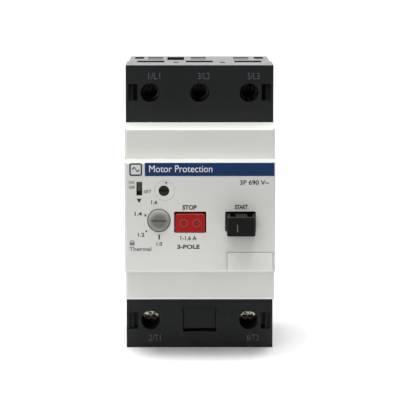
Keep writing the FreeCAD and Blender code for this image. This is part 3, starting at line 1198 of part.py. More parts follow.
def make_rail_latch():
    """Sliding foot that hooks behind the rail's lower edge, and its spring."""
    body = new_body("rail_latch")
    pad(body, "latch_plate", FRONT, "latch_rear", "latch_front - latch_rear",
        [rectangle("-latch_half_width", "latch_half_width", "latch_finger_bottom",
                   "rail_channel_bottom - gap")])
    pad(body, "latch_flanges", FRONT, "latch_flange_rear", "latch_front - latch_flange_rear",
        [rectangle("-latch_flange_half_width", "latch_flange_half_width",
                   "latch_finger_bottom", "rail_channel_bottom - gap")])
    pad(body, "latch_nose", FRONT, "latch_nose_rear", "latch_front - latch_nose_rear",
        [rectangle("-latch_half_width", "latch_half_width", "rail_channel_bottom - overlap", "latch_top")])
    pocket(body, "latch_window", FRONT, "latch_front", "latch_front - latch_rear",
           [rectangle("-latch_window_half_width", "latch_window_half_width",
                      "latch_window_bottom", "latch_window_top")])
    pocket(body, "tool_slot", FRONT, "latch_front", "latch_front - latch_rear",
           [rectangle("-tool_slot_half_width", "tool_slot_half_width", "tool_slot_bottom",
                      "tool_slot_top")])
    start = "spring_lug_top + opening_spring_wire + gap / 2"
    length = f"latch_window_top - opening_spring_wire - gap / 2 - ({start})"
    node("latch_spring", coil("latch_spring", "up", 0, "(latch_rear + latch_front) / 2", start,
                              "latch_spring_radius", "opening_spring_wire", length,
                              f"({length}) / latch_spring_turns"))


# ---------------------------------------------------------------- build, check and write

def build():
    fill_sheet()
    make_rear_base()
    make_terminal_housing()
    make_front_cover()
    make_control_fascia()
    make_name_band()
    make_terminal_blank()
    make_housing_screws()
    make_terminals()
    make_line_conductors()
    make_coil_strips()
    make_load_conductors()
    make_fixed_tips()
    make_contact_bridges()
    make_contact_carrier()
    make_contact_springs()
    make_opening_springs()
    make_arc_chutes()
    make_magnetic_trips()
    make_trip_plungers()
    make_thermal_trips()
    make_trip_bar()
    make_latch_pawl()
    make_mechanism_plate()
    make_rocker_lever()
    make_start_button()
    make_stop_button()
    make_setting_dial()
    make_setting_bar()
    make_test_button()
    make_mode_slider()
    make_marker_flap()
    make_rail_latch()
    doc.recompute()


def check():
    """Stop if any object failed or any piece has no sound shape."""
    for item in doc.Objects:
        if "Invalid" in item.State or "Error" in item.State:
            raise ValueError(f"{item.Name} failed: {item.State}")
    for piece in nodes:
        if piece.Shape.isNull() or not piece.Shape.isValid():
            raise ValueError(f"{piece.Label} has no valid shape")


def write():
    """Write each piece to its own STEP file."""
    os.makedirs("parts", exist_ok=True)
    for piece in nodes:
        piece.Shape.exportStep(f"parts/{piece.Label}.step")


build()
check()
write()
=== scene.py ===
import json
import math
from collections import namedtuple

import bmesh
import bpy
from mathutils import Matrix, Vector


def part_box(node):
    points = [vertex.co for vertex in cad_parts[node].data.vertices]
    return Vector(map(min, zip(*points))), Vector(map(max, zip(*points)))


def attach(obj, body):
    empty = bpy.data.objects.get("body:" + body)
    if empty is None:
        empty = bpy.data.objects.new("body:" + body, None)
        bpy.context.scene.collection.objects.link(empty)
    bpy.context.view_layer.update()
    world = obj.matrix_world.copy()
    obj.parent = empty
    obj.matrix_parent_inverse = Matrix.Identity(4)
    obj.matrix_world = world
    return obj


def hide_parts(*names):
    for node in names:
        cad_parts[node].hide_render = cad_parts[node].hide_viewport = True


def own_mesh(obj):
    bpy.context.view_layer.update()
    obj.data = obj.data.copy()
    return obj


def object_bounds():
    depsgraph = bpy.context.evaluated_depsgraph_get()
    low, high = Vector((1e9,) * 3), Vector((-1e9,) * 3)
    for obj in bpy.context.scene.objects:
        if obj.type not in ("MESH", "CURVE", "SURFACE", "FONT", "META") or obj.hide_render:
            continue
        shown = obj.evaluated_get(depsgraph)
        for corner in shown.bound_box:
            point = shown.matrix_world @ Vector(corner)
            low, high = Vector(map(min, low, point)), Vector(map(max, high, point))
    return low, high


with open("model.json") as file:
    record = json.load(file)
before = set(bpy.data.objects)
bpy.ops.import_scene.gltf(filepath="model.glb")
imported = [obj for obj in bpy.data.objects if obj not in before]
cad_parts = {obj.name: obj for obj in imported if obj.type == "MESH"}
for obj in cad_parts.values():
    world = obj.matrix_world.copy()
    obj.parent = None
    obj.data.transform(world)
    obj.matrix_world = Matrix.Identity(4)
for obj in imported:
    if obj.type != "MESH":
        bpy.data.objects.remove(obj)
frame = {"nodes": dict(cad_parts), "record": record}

MM = 0.001
CAD_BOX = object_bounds()
NODES = frame["nodes"]
BEHAVIOUR = frame["record"]["behaviour"]
BODY_OF = {node: body for body, nodes in BEHAVIOUR["bodies"].items() for node in nodes}
JOINTS = {joint["name"]: joint for joint in BEHAVIOUR["joints"]}
FACING_FRONT = Matrix.Rotation(math.radians(90), 4, "X")
# the inputs and the output that a mix node uses when it mixes colours
COLOUR_A, COLOUR_B, COLOUR_RESULT = 6, 7, 2


# ---------------------------------------------------------------- places in the frame

def middle_of(node):
    """The middle of a node seen from the front, (across, up) in millimetres."""
    low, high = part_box(node)
    return (low.x + high.x) / 2 / MM, (low.z + high.z) / 2 / MM


def face_of(node):
    """How far forward a node's front reaches, in millimetres."""
    return -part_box(node)[0].y / MM


def beside(node, across, up):
    """A place given from the middle of a node, in millimetres."""
    middle = middle_of(node)
    return middle[0] + across, middle[1] + up


def around_dial(angle, reach):
    """A place at an angle and a distance from the dial's middle."""
    turn = math.radians(angle)
    return beside("setting_dial", reach * math.cos(turn), reach * math.sin(turn))


# ---------------------------------------------------------------- node graphs

class Graph:
    """A node tree, with short ways to add and join nodes."""

    def __init__(self, tree):
        self.nodes = tree.nodes
        self.links = tree.links
        self.nodes.clear()

    def add(self, kind, inputs=None, **settings):
        """Add a node with its settings, and feed its inputs."""
        node = self.nodes.new(kind)
        for key, setting in settings.items():
            setattr(node, key, setting)
        for key, source in (inputs or {}).items():
            self.feed(node, key, source)
        return node

    def feed(self, node, key, source):
        """Give an input a value or join it to an output."""
        if isinstance(source, bpy.types.NodeSocket):
            self.links.new(source, node.inputs[key])
        else:
            node.inputs[key].default_value = source

    def math(self, operation, *sources):
        """The result of an operation on values or outputs."""
        return self.add("ShaderNodeMath", dict(enumerate(sources)), operation=operation).outputs[0]

    def split(self, vector):
        """The parts of a vector, by axis letter."""
        return self.add("ShaderNodeSeparateXYZ", {0: vector}).outputs

    def ranged(self, source, low, high, start=0.0, end=1.0, ease="LINEAR"):
        """A value moved from start..end to low..high."""
        return self.add("ShaderNodeMapRange", {
            "Value": source, "From Min": start, "From Max": end, "To Min": low,
            "To Max": high}, interpolation_type=ease).outputs["Result"]

    def camera_ray(self):
        """1 for what the camera sees itself, 0 for reflections and bounces."""
        return self.add("ShaderNodeLightPath").outputs["Is Camera Ray"]


class Finish(Graph):
    """A material's graph round one principled surface."""

    def __init__(self, name):
        self.material = bpy.data.materials.new(name)
        self.material.use_nodes = True
        super().__init__(self.material.node_tree)
        self.surface = self.add("ShaderNodeBsdfPrincipled")
        output = self.add("ShaderNodeOutputMaterial")
        self.feed(output, "Surface", self.surface.outputs["BSDF"])

    def place(self, stretch=(1, 1, 1)):
        """Object coordinates in metres, stretched along the axes."""
        coordinates = self.add("ShaderNodeTexCoord").outputs["Object"]
        mapping = self.add("ShaderNodeMapping", {"Vector": coordinates, "Scale": stretch})
        return mapping.outputs["Vector"]

    def noise(self, scale, detail=4.0, roughness=0.55, stretch=(1, 1, 1)):
        """Cloudy noise; scale is how many clouds there are in a metre."""
        return self.add("ShaderNodeTexNoise", {
            "Vector": self.place(stretch), "Scale": scale, "Detail": detail,
            "Roughness": roughness}).outputs["Fac"]

    def mixed(self, factor, first, second):
        """A colour between two colours."""
        mix = self.add("ShaderNodeMix", {0: factor}, data_type="RGBA")
        self.feed(mix, COLOUR_A, first)
        self.feed(mix, COLOUR_B, second)
        return mix.outputs[COLOUR_RESULT]

    def edges(self, radius, strength):
        """How near a sharp edge the point is: 0 on flat faces, towards 1 on edges."""
        soft = self.add("ShaderNodeBevel", {"Radius": radius}, samples=4).outputs["Normal"]
        plain = self.add("ShaderNodeNewGeometry").outputs["Normal"]
        dot = self.add("ShaderNodeVectorMath", {0: soft, 1: plain}, operation="DOT_PRODUCT")
        return self.ranged(dot.outputs["Value"], strength, 0.0, 0.9, 1.0)

    def bumped(self, height, strength, distance):
        """Bump the surface's normal with a height."""
        bump = self.add("ShaderNodeBump", {"Height": height, "Strength": strength,
                                           "Distance": distance})
        self.feed(self.surface, "Normal", bump.outputs["Normal"])

    def done(self, **inputs):
        """Feed the surface's own inputs and give the material."""
        for key, source in inputs.items():
            self.feed(self.surface, key.replace("_", " "), source)
        return self.material


# ---------------------------------------------------------------- colours

def linear(red, green, blue):
    """A colour given as 0 to 255 display values, as scene-linear numbers."""
    def channel(level):
        share = level / 255
        return share / 12.92 if share <= 0.04045 else ((share + 0.055) / 1.055) ** 2.4
    return (channel(red), channel(green), channel(blue), 1.0)


def scaled(colour, factor):
    """A colour made darker or lighter, never above white."""
    return tuple(min(1.0, part * factor) for part in colour[:3]) + (1.0,)


# ---------------------------------------------------------------- materials

def printed_bar(finish, tone, ink, place, half_width, half_height):
    """A bar of another colour on a surface, seen from the front."""
    parts = finish.split(finish.place())
    across = finish.math("COMPARE", parts["X"], place[0] * MM, half_width * MM)
    upright = finish.math("COMPARE", parts["Z"], place[1] * MM, half_height * MM)
    return finish.mixed(finish.math("MULTIPLY", across, upright), tone, ink)


def moulded_plastic(name, colour, roughness=0.5, grain=2600.0, grain_depth=0.02,
                    variation=0.04, wear=0.25, specular=0.4, bar=None):
    """Injection-moulded plastic: fine spark-eroded grain, faint flow marks and worn edges."""
    finish = Finish(name)
    cloud = finish.ranged(finish.noise(45.0, detail=3.0), 0.0, 1.0, 0.3, 0.7)
    broad = finish.mixed(cloud, scaled(colour, 1 - variation), scaled(colour, 1 + variation))
    streaks = finish.noise(30.0, detail=2.0, stretch=(1.0, 1.0, 0.25))
    flow = finish.ranged(streaks, 0.0, 0.35, 0.35, 0.75)
    toned = finish.mixed(flow, broad, scaled(colour, 1 - 1.6 * variation))
    edge = finish.math("MULTIPLY", finish.edges(0.35 * MM, wear), finish.noise(420.0, detail=5.0))
    worn = finish.mixed(edge, toned, scaled(colour, 1.5))
    if bar:
        worn = printed_bar(finish, worn, **bar)
    finish.bumped(finish.noise(grain, detail=2.0, roughness=0.7), 0.35, grain_depth * MM)
    gloss = finish.ranged(finish.noise(160.0), roughness - 0.07, roughness + 0.07)
    return finish.done(Base_Color=worn, Roughness=gloss, Specular_IOR_Level=specular)


def printed_ink(name, colour, roughness=0.45):
    """Pad-printed ink: slightly uneven cover over the moulding's grain."""
    finish = Finish(name)
    patch = finish.ranged(finish.noise(900.0, detail=5.0), 0.0, 1.0, 0.3, 0.75)
    tone = finish.mixed(patch, scaled(colour, 0.85), scaled(colour, 1.15))
    finish.bumped(finish.noise(2600.0, detail=2.0, roughness=0.7), 0.3, 0.01 * MM)
    return finish.done(Base_Color=tone, Roughness=roughness)


def plated_metal(name, colour, roughness=0.32, brush=(1.0, 1.0, 14.0)):
    """Plated or drawn metal: brushed streaks, cloudy patches and bright worn edges."""
    finish = Finish(name)
    streak = finish.noise(220.0, detail=6.0, roughness=0.65, stretch=brush)
    cloud = finish.ranged(finish.noise(90.0), 0.0, 1.0, 0.35, 0.7)
    tone = finish.mixed(cloud, scaled(colour, 0.75), colour)
    bright = finish.mixed(finish.edges(0.2 * MM, 0.5), tone, scaled(colour, 1.35))
    finish.bumped(streak, 0.25, 0.02 * MM)
    rough = finish.ranged(streak, roughness - 0.1, roughness + 0.14, 0.3, 0.7)
    return finish.done(Base_Color=bright, Metallic=0.9, Roughness=rough)


def mirror_metal(name, colour, painted_shade_tone, level):
    """Plated screw head: bright and spotted, with painted shade below a height in millimetres,
    where the rim of its hole shades it.
    """
    finish = Finish(name)
    spots = finish.ranged(finish.noise(1100.0, detail=3.0, roughness=0.5), 0.0, 1.0, 0.46, 0.54)
    tone = finish.mixed(spots, colour, scaled(colour, 0.08))
    height = finish.split(finish.add("ShaderNodeNewGeometry").outputs["Position"])["Z"]
    waver = finish.ranged(finish.noise(500.0), -0.8 * MM, 0.8 * MM)
    # painted shade: below the given height, where the hole's lower rim shades the head, the colour
    # turns to the shade tone
    lit_above = finish.ranged(finish.math("ADD", height, waver), 0.0, 1.0,
                          (level - 0.5) * MM, (level + 0.5) * MM)
    painted_shade_below = finish.mixed(lit_above, painted_shade_tone, tone)
    finish.bumped(finish.noise(700.0, detail=3.0, roughness=0.6), 0.5, 0.03 * MM)
    rough = finish.ranged(spots, 0.04, 0.16)
    return finish.done(Base_Color=painted_shade_below, Metallic=1.0, Roughness=rough)


def soft_dome(name, rim, crown, node):
    """Matt moulding for a round node: darker on its crown than at its rim."""
    low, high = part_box(node)
    radius = (high.x - low.x) / 2
    finish = Finish(name)
    place = finish.add("ShaderNodeVectorMath", {0: finish.place(), 1: (low + high) / 2},
                       operation="SUBTRACT").outputs["Vector"]
    flat = finish.add("ShaderNodeVectorMath", {0: place, 1: (1.0, 0.0, 1.0)},
                      operation="MULTIPLY").outputs["Vector"]
    reach = finish.add("ShaderNodeVectorMath", {0: flat}, operation="LENGTH").outputs["Value"]
    toned = finish.mixed(finish.ranged(reach, 0.0, 1.0, 0.5 * radius, radius), crown, rim)
    cloud = finish.ranged(finish.noise(220.0, detail=3.0), 0.9, 1.1, 0.3, 0.7)
    tone = finish.add("ShaderNodeVectorMath", {0: toned, "Scale": cloud}, operation="SCALE")
    finish.bumped(finish.noise(1500.0, detail=2.0, roughness=0.7), 0.35, 0.03 * MM)
    gloss = finish.ranged(finish.noise(160.0), 0.62, 0.8)
    return finish.done(Base_Color=tone.outputs["Vector"], Roughness=gloss,
                       Specular_IOR_Level=0.15)


def fibre_board(name, colour):
    """Vulcanised fibre sheet with short flecks."""
    finish = Finish(name)
    fibres = finish.noise(700.0, detail=6.0, roughness=0.7, stretch=(1.0, 3.0, 1.0))
    fleck = finish.ranged(fibres, 0.0, 1.0, 0.35, 0.7)
    tone = finish.mixed(fleck, scaled(colour, 0.7), scaled(colour, 1.25))
    finish.bumped(fleck, 0.3, 0.05 * MM)
    return finish.done(Base_Color=tone, Roughness=0.8)


def floor_finish():
    """Pale studio floor, almost even; in reflections it is dark beyond the front of a table."""
    finish = Finish("studio_floor")
    tone = finish.mixed(finish.noise(3.0, detail=3.0), FLOOR_LOW, FLOOR_HIGH)
    along = finish.split(finish.place())["Y"]
    beyond = finish.ranged(along, 1.0, 0.0, -TABLE_END, -TABLE_START)
    reflected = finish.math("SUBTRACT", 1.0, finish.camera_ray())
    shown = finish.mixed(finish.math("MULTIPLY", beyond, reflected), tone, FLOOR_BEYOND)
    finish.bumped(finish.noise(300.0, detail=2.0), 0.05, 0.1 * MM)
    return finish.done(Base_Color=shown, Roughness=0.9, Specular_IOR_Level=0.1)


GREY_MOULDING = linear(215, 216, 211)
BLACK_MOULDING = linear(39, 40, 41)
TERMINAL_HEIGHT = middle_of("line_screw_middle")[1]
START_BAR = {"ink": linear(120, 120, 118), "place": beside("start_button", -1.5, -0.85),
             "half_width": 0.15, "half_height": 1.5}

MOULDINGS = (
    moulded_plastic("grey_case", GREY_MOULDING, roughness=0.52, variation=0.015, wear=0.2),
    # painted shade: the nose's grey is the same moulding made 5 % darker, because its front takes
    # less light than the cover's
    moulded_plastic("grey_nose_painted_shade", scaled(GREY_MOULDING, 0.95), roughness=0.52, variation=0.015,
                    wear=0.3),
    # painted light: the flap's grey is the same moulding made 4 % lighter, to offset the START
    # key's shadow on it
    moulded_plastic("grey_flap_painted_light", scaled(GREY_MOULDING, 1.04), roughness=0.52, variation=0.015,
                    wear=0.2),
    moulded_plastic("black_case", BLACK_MOULDING, roughness=0.3, grain=1800.0,
                    grain_depth=0.015, variation=0.1, wear=0.35, specular=0.08),
    moulded_plastic("blue_film", linear(32, 56, 97), roughness=0.4, grain=3200.0,
                    grain_depth=0.01, variation=0.06, wear=0.3, specular=0.12),
    moulded_plastic("stop_red", linear(160, 32, 32), roughness=0.34, grain=3000.0,
                    grain_depth=0.012, variation=0.05, wear=0.5, specular=0.18),
    moulded_plastic("start_black", linear(28, 28, 28), roughness=0.4, grain=2400.0,
                    variation=0.1, wear=0.6, specular=0.1, bar=START_BAR),
    moulded_plastic("dark_knob", linear(46, 44, 41), grain=2000.0, variation=0.12,
                    specular=0.15),
    moulded_plastic("slider_brown", linear(84, 78, 73), grain=2000.0, variation=0.12,
                    specular=0.2),
    moulded_plastic("cream_nylon", linear(222, 214, 190), variation=0.03),
    moulded_plastic("brown_thermoset", linear(110, 72, 46), roughness=0.6, grain=900.0,
                    grain_depth=0.05, variation=0.15),
    soft_dome("dial_grey", linear(160, 161, 156), linear(112, 112, 107), "setting_dial"),
    fibre_board("fibre", linear(150, 84, 58)),
)

METALS = (
    # painted shade: the dark second colour is the shade below each screw's middle; the line screws,
    # deep in the dim top holes, also get a darker colour as painted shade
    mirror_metal("line_screw", linear(120, 116, 104), linear(30, 28, 24), TERMINAL_HEIGHT),
    mirror_metal("load_screw", linear(168, 164, 148), linear(34, 32, 28), -TERMINAL_HEIGHT),
    plated_metal("zinc", linear(200, 198, 190)),
    plated_metal("steel", linear(176, 176, 172), roughness=0.35),
    plated_metal("spring_wire", linear(184, 184, 182), roughness=0.28, brush=(4.0, 4.0, 4.0)),
    plated_metal("copper", linear(196, 126, 84), roughness=0.3, brush=(1.0, 8.0, 1.0)),
    plated_metal("coil_wire", linear(168, 88, 46), roughness=0.25, brush=(4.0, 4.0, 4.0)),
    plated_metal("silver", linear(226, 224, 216), roughness=0.22, brush=(3.0, 3.0, 3.0)),
)

INKS = (
    printed_ink("black_ink", linear(34, 35, 38)),
    printed_ink("dark_ink", linear(64, 66, 70)),
    printed_ink("grey_ink", linear(118, 119, 118)),
    printed_ink("faint_ink", linear(176, 177, 174)),
    printed_ink("white_ink", linear(226, 228, 232)),
    printed_ink("navy_ink", linear(34, 46, 78)),
    # painted highlight and painted shade: the two reds for STOP's raised rings and their lower
    # middles
    printed_ink("red_painted_highlight", linear(176, 62, 60)),
    printed_ink("red_painted_shade", linear(128, 22, 26)),
    printed_ink("dark_letters", linear(78, 80, 84), roughness=0.55),
)

FINISHES = {material.name: material for material in MOULDINGS + METALS + INKS}

NODE_FINISHES = {
    "black_case": ("rear_base", "terminal_housing", "terminal_blank", "rail_latch"),
    "grey_case": ("front_cover",),
    "grey_flap_painted_light": ("marker_flap",),
    "grey_nose_painted_shade": ("control_fascia",),
    "blue_film": ("name_band",),
    "start_black": ("start_button",),
    "stop_red": ("stop_button",),
    "dial_grey": ("setting_dial",),
    "dark_knob": ("test_button",),
    "slider_brown": ("mode_slider",),
    "cream_nylon": ("setting_bar", "trip_bar", "rocker_lever"),
    "brown_thermoset": ("contact_carrier",),
    "fibre": ("arc_cheeks",),
    "zinc": ("arc_plates", "housing_screws", "mechanism_plate", "line_clamp", "load_clamp"),
    "copper": ("line_conductors", "coil_strips", "load_conductors", "contact_bridges"),
    "coil_wire": ("trip_coils",),
    "silver": ("fixed_contact_tips", "bridge_contact_tips"),
    "steel": ("magnet_yokes", "magnet_cores", "bimetal_strips", "trip_shaft", "latch_pawl",
              "pawl_pin", "rocker_pin", "trip_plunger"),
    "spring_wire": ("heater_windings", "contact_springs", "opening_springs", "test_spring",
                    "latch_spring"),
    "line_screw": ("line_screw",),
    "load_screw": ("load_screw",),
}

# how wide the rounding of a node's edges is, in millimetres
ROUNDINGS = {
    "rear_base": 0.3, "terminal_housing": 0.3, "front_cover": 0.25, "control_fascia": 0.18,
    "name_band": 0.1, "terminal_blank": 0.25, "marker_flap": 0.12, "start_button": 0.25,
    "stop_button": 0.12, "setting_dial": 0.15, "test_button": 0.15, "mode_slider": 0.1,
    "rail_latch": 0.3, "line_screw": 0.15, "load_screw": 0.15, "line_clamp": 0.15,
    "load_clamp": 0.15,
}
ROUNDING_STEPS = 2
# edges that turn by more than this many degrees are rounded
LEAST_TURN = 32
# points closer than this many millimetres are one point
SAME_POINT = 0.002
POLES = ("left", "middle", "right")


def kind_of(node):
    """A node's name without the pole it belongs to."""
    stem, _, last = node.rpartition("_")
    return stem if last in POLES else node


def soften_edges(thing, width):
    """Round the sharp edges of a mesh and shade it smoothly."""
    weld = thing.modifiers.new("weld", "WELD")
    weld.merge_threshold = SAME_POINT * MM
    bevel = thing.modifiers.new("round_edges", "BEVEL")
    bevel.width = width * MM
    bevel.segments = ROUNDING_STEPS
    bevel.limit_method = "ANGLE"
    bevel.angle_limit = math.radians(LEAST_TURN)
    bevel.use_clamp_overlap = True
    bevel.harden_normals = False
    normals = thing.modifiers.new("even_normals", "WEIGHTED_NORMAL")
    normals.keep_sharp = True


def dress_cad_nodes():
    """Give every CAD node its material and soften the edges of the ones that show."""
    finish_of = {kind: finish for finish, kinds in NODE_FINISHES.items() for kind in kinds}
    for name, thing in NODES.items():
        thing.data.materials.clear()
        thing.data.materials.append(FINISHES[finish_of[kind_of(name)]])
        if kind_of(name) in ROUNDINGS:
            soften_edges(thing, ROUNDINGS[kind_of(name)])


# ---------------------------------------------------------------- flat shapes

def arc(centre, radius, start, end, steps=16):
    """Points along an arc, in degrees, anticlockwise seen from the front."""
    points = []
    for step in range(steps + 1):
        angle = math.radians(start + (end - start) * step / steps)
        points.append((centre[0] + radius * math.cos(angle),
                       centre[1] + radius * math.sin(angle)))
    return points


def disc(centre, radius, steps=32):
    """Outline of a disc."""
    return arc(centre, radius, 0, 360 * (steps - 1) / steps, steps - 1)


def ribbon(near, far):
    """Quads between two rows of points."""
    return [[near[n], far[n], far[n + 1], near[n + 1]] for n in range(len(near) - 1)]


def ring(centre, radius, thickness, start=0, end=360, steps=40):
    """Quads of a ring or part of a ring."""
    return ribbon(arc(centre, radius - thickness / 2, start, end, steps),
                  arc(centre, radius + thickness / 2, start, end, steps))


def upright_bar(centre, width, tall):
    """Outline of an upright rectangle."""
    left, right = centre[0] - width / 2, centre[0] + width / 2
    low, high = centre[1] - tall / 2, centre[1] + tall / 2
    return [(left, low), (right, low), (right, high), (left, high)]


def pointer(centre, width, tall):
    """Outline of a triangle that points down."""
    top = centre[1] + tall / 2
    return [(centre[0] - width / 2, top), (centre[0], top - tall), (centre[0] + width / 2, top)]


def rounded_square(centre, half, corner, steps=5):
    """Closed outline of a square with round corners."""
    points = []
    for quarter, (across, up) in enumerate(((1, 1), (-1, 1), (-1, -1), (1, -1))):
        middle = (centre[0] + across * (half - corner), centre[1] + up * (half - corner))
        points += arc(middle, corner, 90 * quarter, 90 * quarter + 90, steps)
    return points + points[:1]


def square_frame(centre, half, thickness, corner):
    """Quads of a square frame with round corners."""
    return ribbon(rounded_square(centre, half, corner),
                  rounded_square(centre, half - thickness, corner - thickness))


def wave(centre, length, swing, thickness, steps=20):
    """Quads of one period of a sine wave."""
    def edge(side):
        return [(centre[0] + length * (n / steps - 0.5),
                 centre[1] + swing * math.sin(2 * math.pi * n / steps) + side * thickness / 2)
                for n in range(steps + 1)]
    return ribbon(edge(-1), edge(1))


# ---------------------------------------------------------------- marks and lettering

# how far printing and raised letters stand out, in millimetres
INK = 0.05
EMBOSS = 0.2
# how much the strokes of letters are thickened, in letter sizes
PLAIN, BOLD, BLACK = 0.0, 0.02, 0.035
SAME_CORNER = 1e-5

# words near a node: across and up are from its middle, and sizes are in millimetres
Label = namedtuple("Label", "name text near across up width tall ink weight")
LABELS = (
    Label("band_words", "Motor Protection", "name_band", -11.7, 0.3, 25.6, 2.8, "white_ink", PLAIN),
    Label("rating_words", "3P 690 V~", "name_band", 18.2, -5.3, 11.8, 1.9, "black_ink", BOLD),
    Label("slider_on", "ON", "mode_slider", -3.2, 2.75, 2.2, 1.3, "grey_ink", BOLD),
    Label("slider_off", "OFF", "mode_slider", -3.1, 0.75, 2.4, 1.3, "grey_ink", BOLD),
    Label("slider_set", "SET", "mode_slider", 3.4, -1.0, 3.0, 1.25, "grey_ink", BOLD),
    Label("thermal_words", "Thermal", "setting_dial", -7.6, -11.7, 9.0, 1.75, "grey_ink", BOLD),
    Label("stop_words", "STOP", "stop_button", -0.25, 6.45, 5.8, 1.9, "black_ink", BLACK),
    Label("current_words", "1-1.6 A", "stop_button", -0.7, -6.15, 6.6, 1.8, "black_ink", BOLD),
    Label("pole_words", "3-POLE", "stop_button", -0.7, -9.7, 9.2, 1.75, "dark_ink", BLACK),
    Label("start_words", "START", "start_button", 0.2, 6.8, 5.2, 1.8, "black_ink", BLACK),
)

# the current scale: angles in degrees, and distances from the dial's middle in millimetres
Number = namedtuple("Number", "text angle reach width")
SCALE = (Number("1.6", 104, 7.7, 2.5), Number("1.4", 162, 8.8, 2.9),
         Number("1.2", 219, 9.3, 2.7), Number("1.0", 271, 9.6, 2.3))
Tick = namedtuple("Tick", "angle reach tall")
TICKS = (Tick(159, 5.9, 0.9), Tick(221, 6.8, 0.7), Tick(271, 6.8, 2.0))
NUMBER_TALL = 1.6
TICK_WIDTH = 0.6

# signs: each place is across and up from the middle of the node beside it
EMBLEM_PLACE = beside("name_band", -29.95, 0.0)
EMBLEM_HALF, EMBLEM_CORNER = 2.6, 0.9
EMBLEM_LINE = 0.6
WAVE_LENGTH, WAVE_SWING = 2.9, 0.75
SLIDER_POINTER_PLACE = beside("mode_slider", -0.1, -4.8)
SLIDER_POINTER_WIDTH, SLIDER_POINTER_TALL = 1.9, 1.8
TEST_POINTER_PLACE = beside("test_button", 0.9, 3.1)
TEST_POINTER_SIZE = 1.0
TEST_RING_PLACE = beside("test_button", 0.35, 0.1)
TEST_RING_RADIUS, TEST_RING_LINE = 4.1, 0.16
PADLOCK_PLACE = beside("setting_dial", -10.9, -9.6)
PADLOCK_WIDTH, PADLOCK_TALL = 2.0, 1.2
BOW_RADIUS, BOW_LINE = 0.75, 0.3
STOP_RING_ACROSS = 2.6
STOP_RING_RADIUS, STOP_RING_LINE = 1.5, 0.36
STOP_RING_RAISED = 0.2
STOP_MIDDLE_RADIUS = 1.1
TERMINAL_NAMES = {"line": ("1/L1", "3/L2", "5/L3"), "load": ("2/T1", None, "6/T3")}
TERMINAL_NAME_RISE = {"line": 7.05, "load": -7.55}
TERMINAL_NAME_ACROSS = 1.8
TERMINAL_NAME_WIDTH = 5.0
TERMINAL_NAME_TALL = 2.7


def finished_piece(name, mesh, finish, node):
    """Make an object of a mesh, give it a finish and let it ride with a CAD node."""
    thing = bpy.data.objects.new(name, mesh)
    bpy.context.scene.collection.objects.link(thing)
    mesh.materials.clear()
    mesh.materials.append(FINISHES[finish])
    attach(thing, BODY_OF[node])
    return thing


def extrude_flat(mesh):
    """Turn a flat mesh in z = 0 into a plate from z = 0 to z = 1."""
    shape = bmesh.new()
    shape.from_mesh(mesh)
    bmesh.ops.remove_doubles(shape, verts=shape.verts, dist=SAME_CORNER)
    raised = bmesh.ops.extrude_face_region(shape, geom=shape.faces[:])
    for item in raised["geom"]:
        if isinstance(item, bmesh.types.BMVert):
            item.co.z = 1.0
    bmesh.ops.recalc_face_normals(shape, faces=shape.faces[:])
    shape.to_mesh(mesh)
    shape.free()


def stand_on_front(mesh, node, place=(0.0, 0.0), sunk=0.0):
    """Turn a plate that lies in z = 0 to the front and put it on a node's front."""
    target = Vector((place[0], sunk - face_of(node), place[1])) * MM
    mesh.transform(Matrix.Translation(target) @ FACING_FRONT)


def flat_letters(name, text, weight):
    """A flat mesh of a text, one unit to the letter's size."""
    curve = bpy.data.curves.new(name, "FONT")
    curve.body = text
    curve.size = 1.0
    curve.offset = weight
    source = bpy.data.objects.new(name + "_source", curve)
    bpy.context.scene.collection.objects.link(source)
    bpy.context.view_layer.update()
    mesh = bpy.data.meshes.new_from_object(source)
    mesh.name = name
    bpy.data.objects.remove(source)
    return mesh


def lettering(name, text, place, width, tall, ink, node, weight=BOLD, raise_by=INK):
    """Letters raised from a node's front, fitted to a rectangle round a place."""
    mesh = flat_letters(name, text, weight)
    extrude_flat(mesh)
    corners = [vertex.co for vertex in mesh.vertices]
    low = Vector((min(corner.x for corner in corners), min(corner.y for corner in corners), 0))
    high = Vector((max(corner.x for corner in corners), max(corner.y for corner in corners), 0))
    size = high - low
    fit = Matrix.Diagonal((width * MM / size.x, tall * MM / size.y, raise_by * MM, 1))
    mesh.transform(fit @ Matrix.Translation(-(low + high) / 2))
    stand_on_front(mesh, node, place)
    return finished_piece(name, mesh, ink, node)


def plate(name, outlines, ink, node, sunk=0.0):
    """Flat shapes raised from a node's front; each outline is a list of (across, up)."""
    shape = bmesh.new()
    for outline in outlines:
        shape.faces.new([shape.verts.new((across * MM, up * MM, 0)) for across, up in outline])
    mesh = bpy.data.meshes.new(name)
    shape.to_mesh(mesh)
    shape.free()
    extrude_flat(mesh)
    mesh.transform(Matrix.Diagonal((1, 1, INK * MM, 1)))
    stand_on_front(mesh, node, sunk=sunk)
    return finished_piece(name, mesh, ink, node)


def print_labels():
    """The words on the nose and on its blue band."""
    for label in LABELS:
        printed_on = "name_band" if label.ink == "white_ink" else "control_fascia"
        lettering(label.name, label.text, beside(label.near, label.across, label.up),
                  label.width, label.tall, label.ink, printed_on, label.weight)


def print_scale():
    """The current scale round the dial."""
    for number in SCALE:
        lettering("scale_" + number.text, number.text, around_dial(number.angle, number.reach),
                  number.width, NUMBER_TALL, "black_ink", "control_fascia")
    for tick in TICKS:
        place = around_dial(tick.angle, tick.reach)
        plate(f"scale_tick_{tick.angle}", [upright_bar(place, TICK_WIDTH, tick.tall)],
              "black_ink", "control_fascia")


def print_emblem():
    """A square with one wave in it, left of the blue band."""
    plate("emblem_frame", square_frame(EMBLEM_PLACE, EMBLEM_HALF, EMBLEM_LINE, EMBLEM_CORNER),
          "navy_ink", "control_fascia")
    plate("emblem_wave", wave(EMBLEM_PLACE, WAVE_LENGTH, WAVE_SWING, EMBLEM_LINE), "navy_ink",
          "control_fascia")


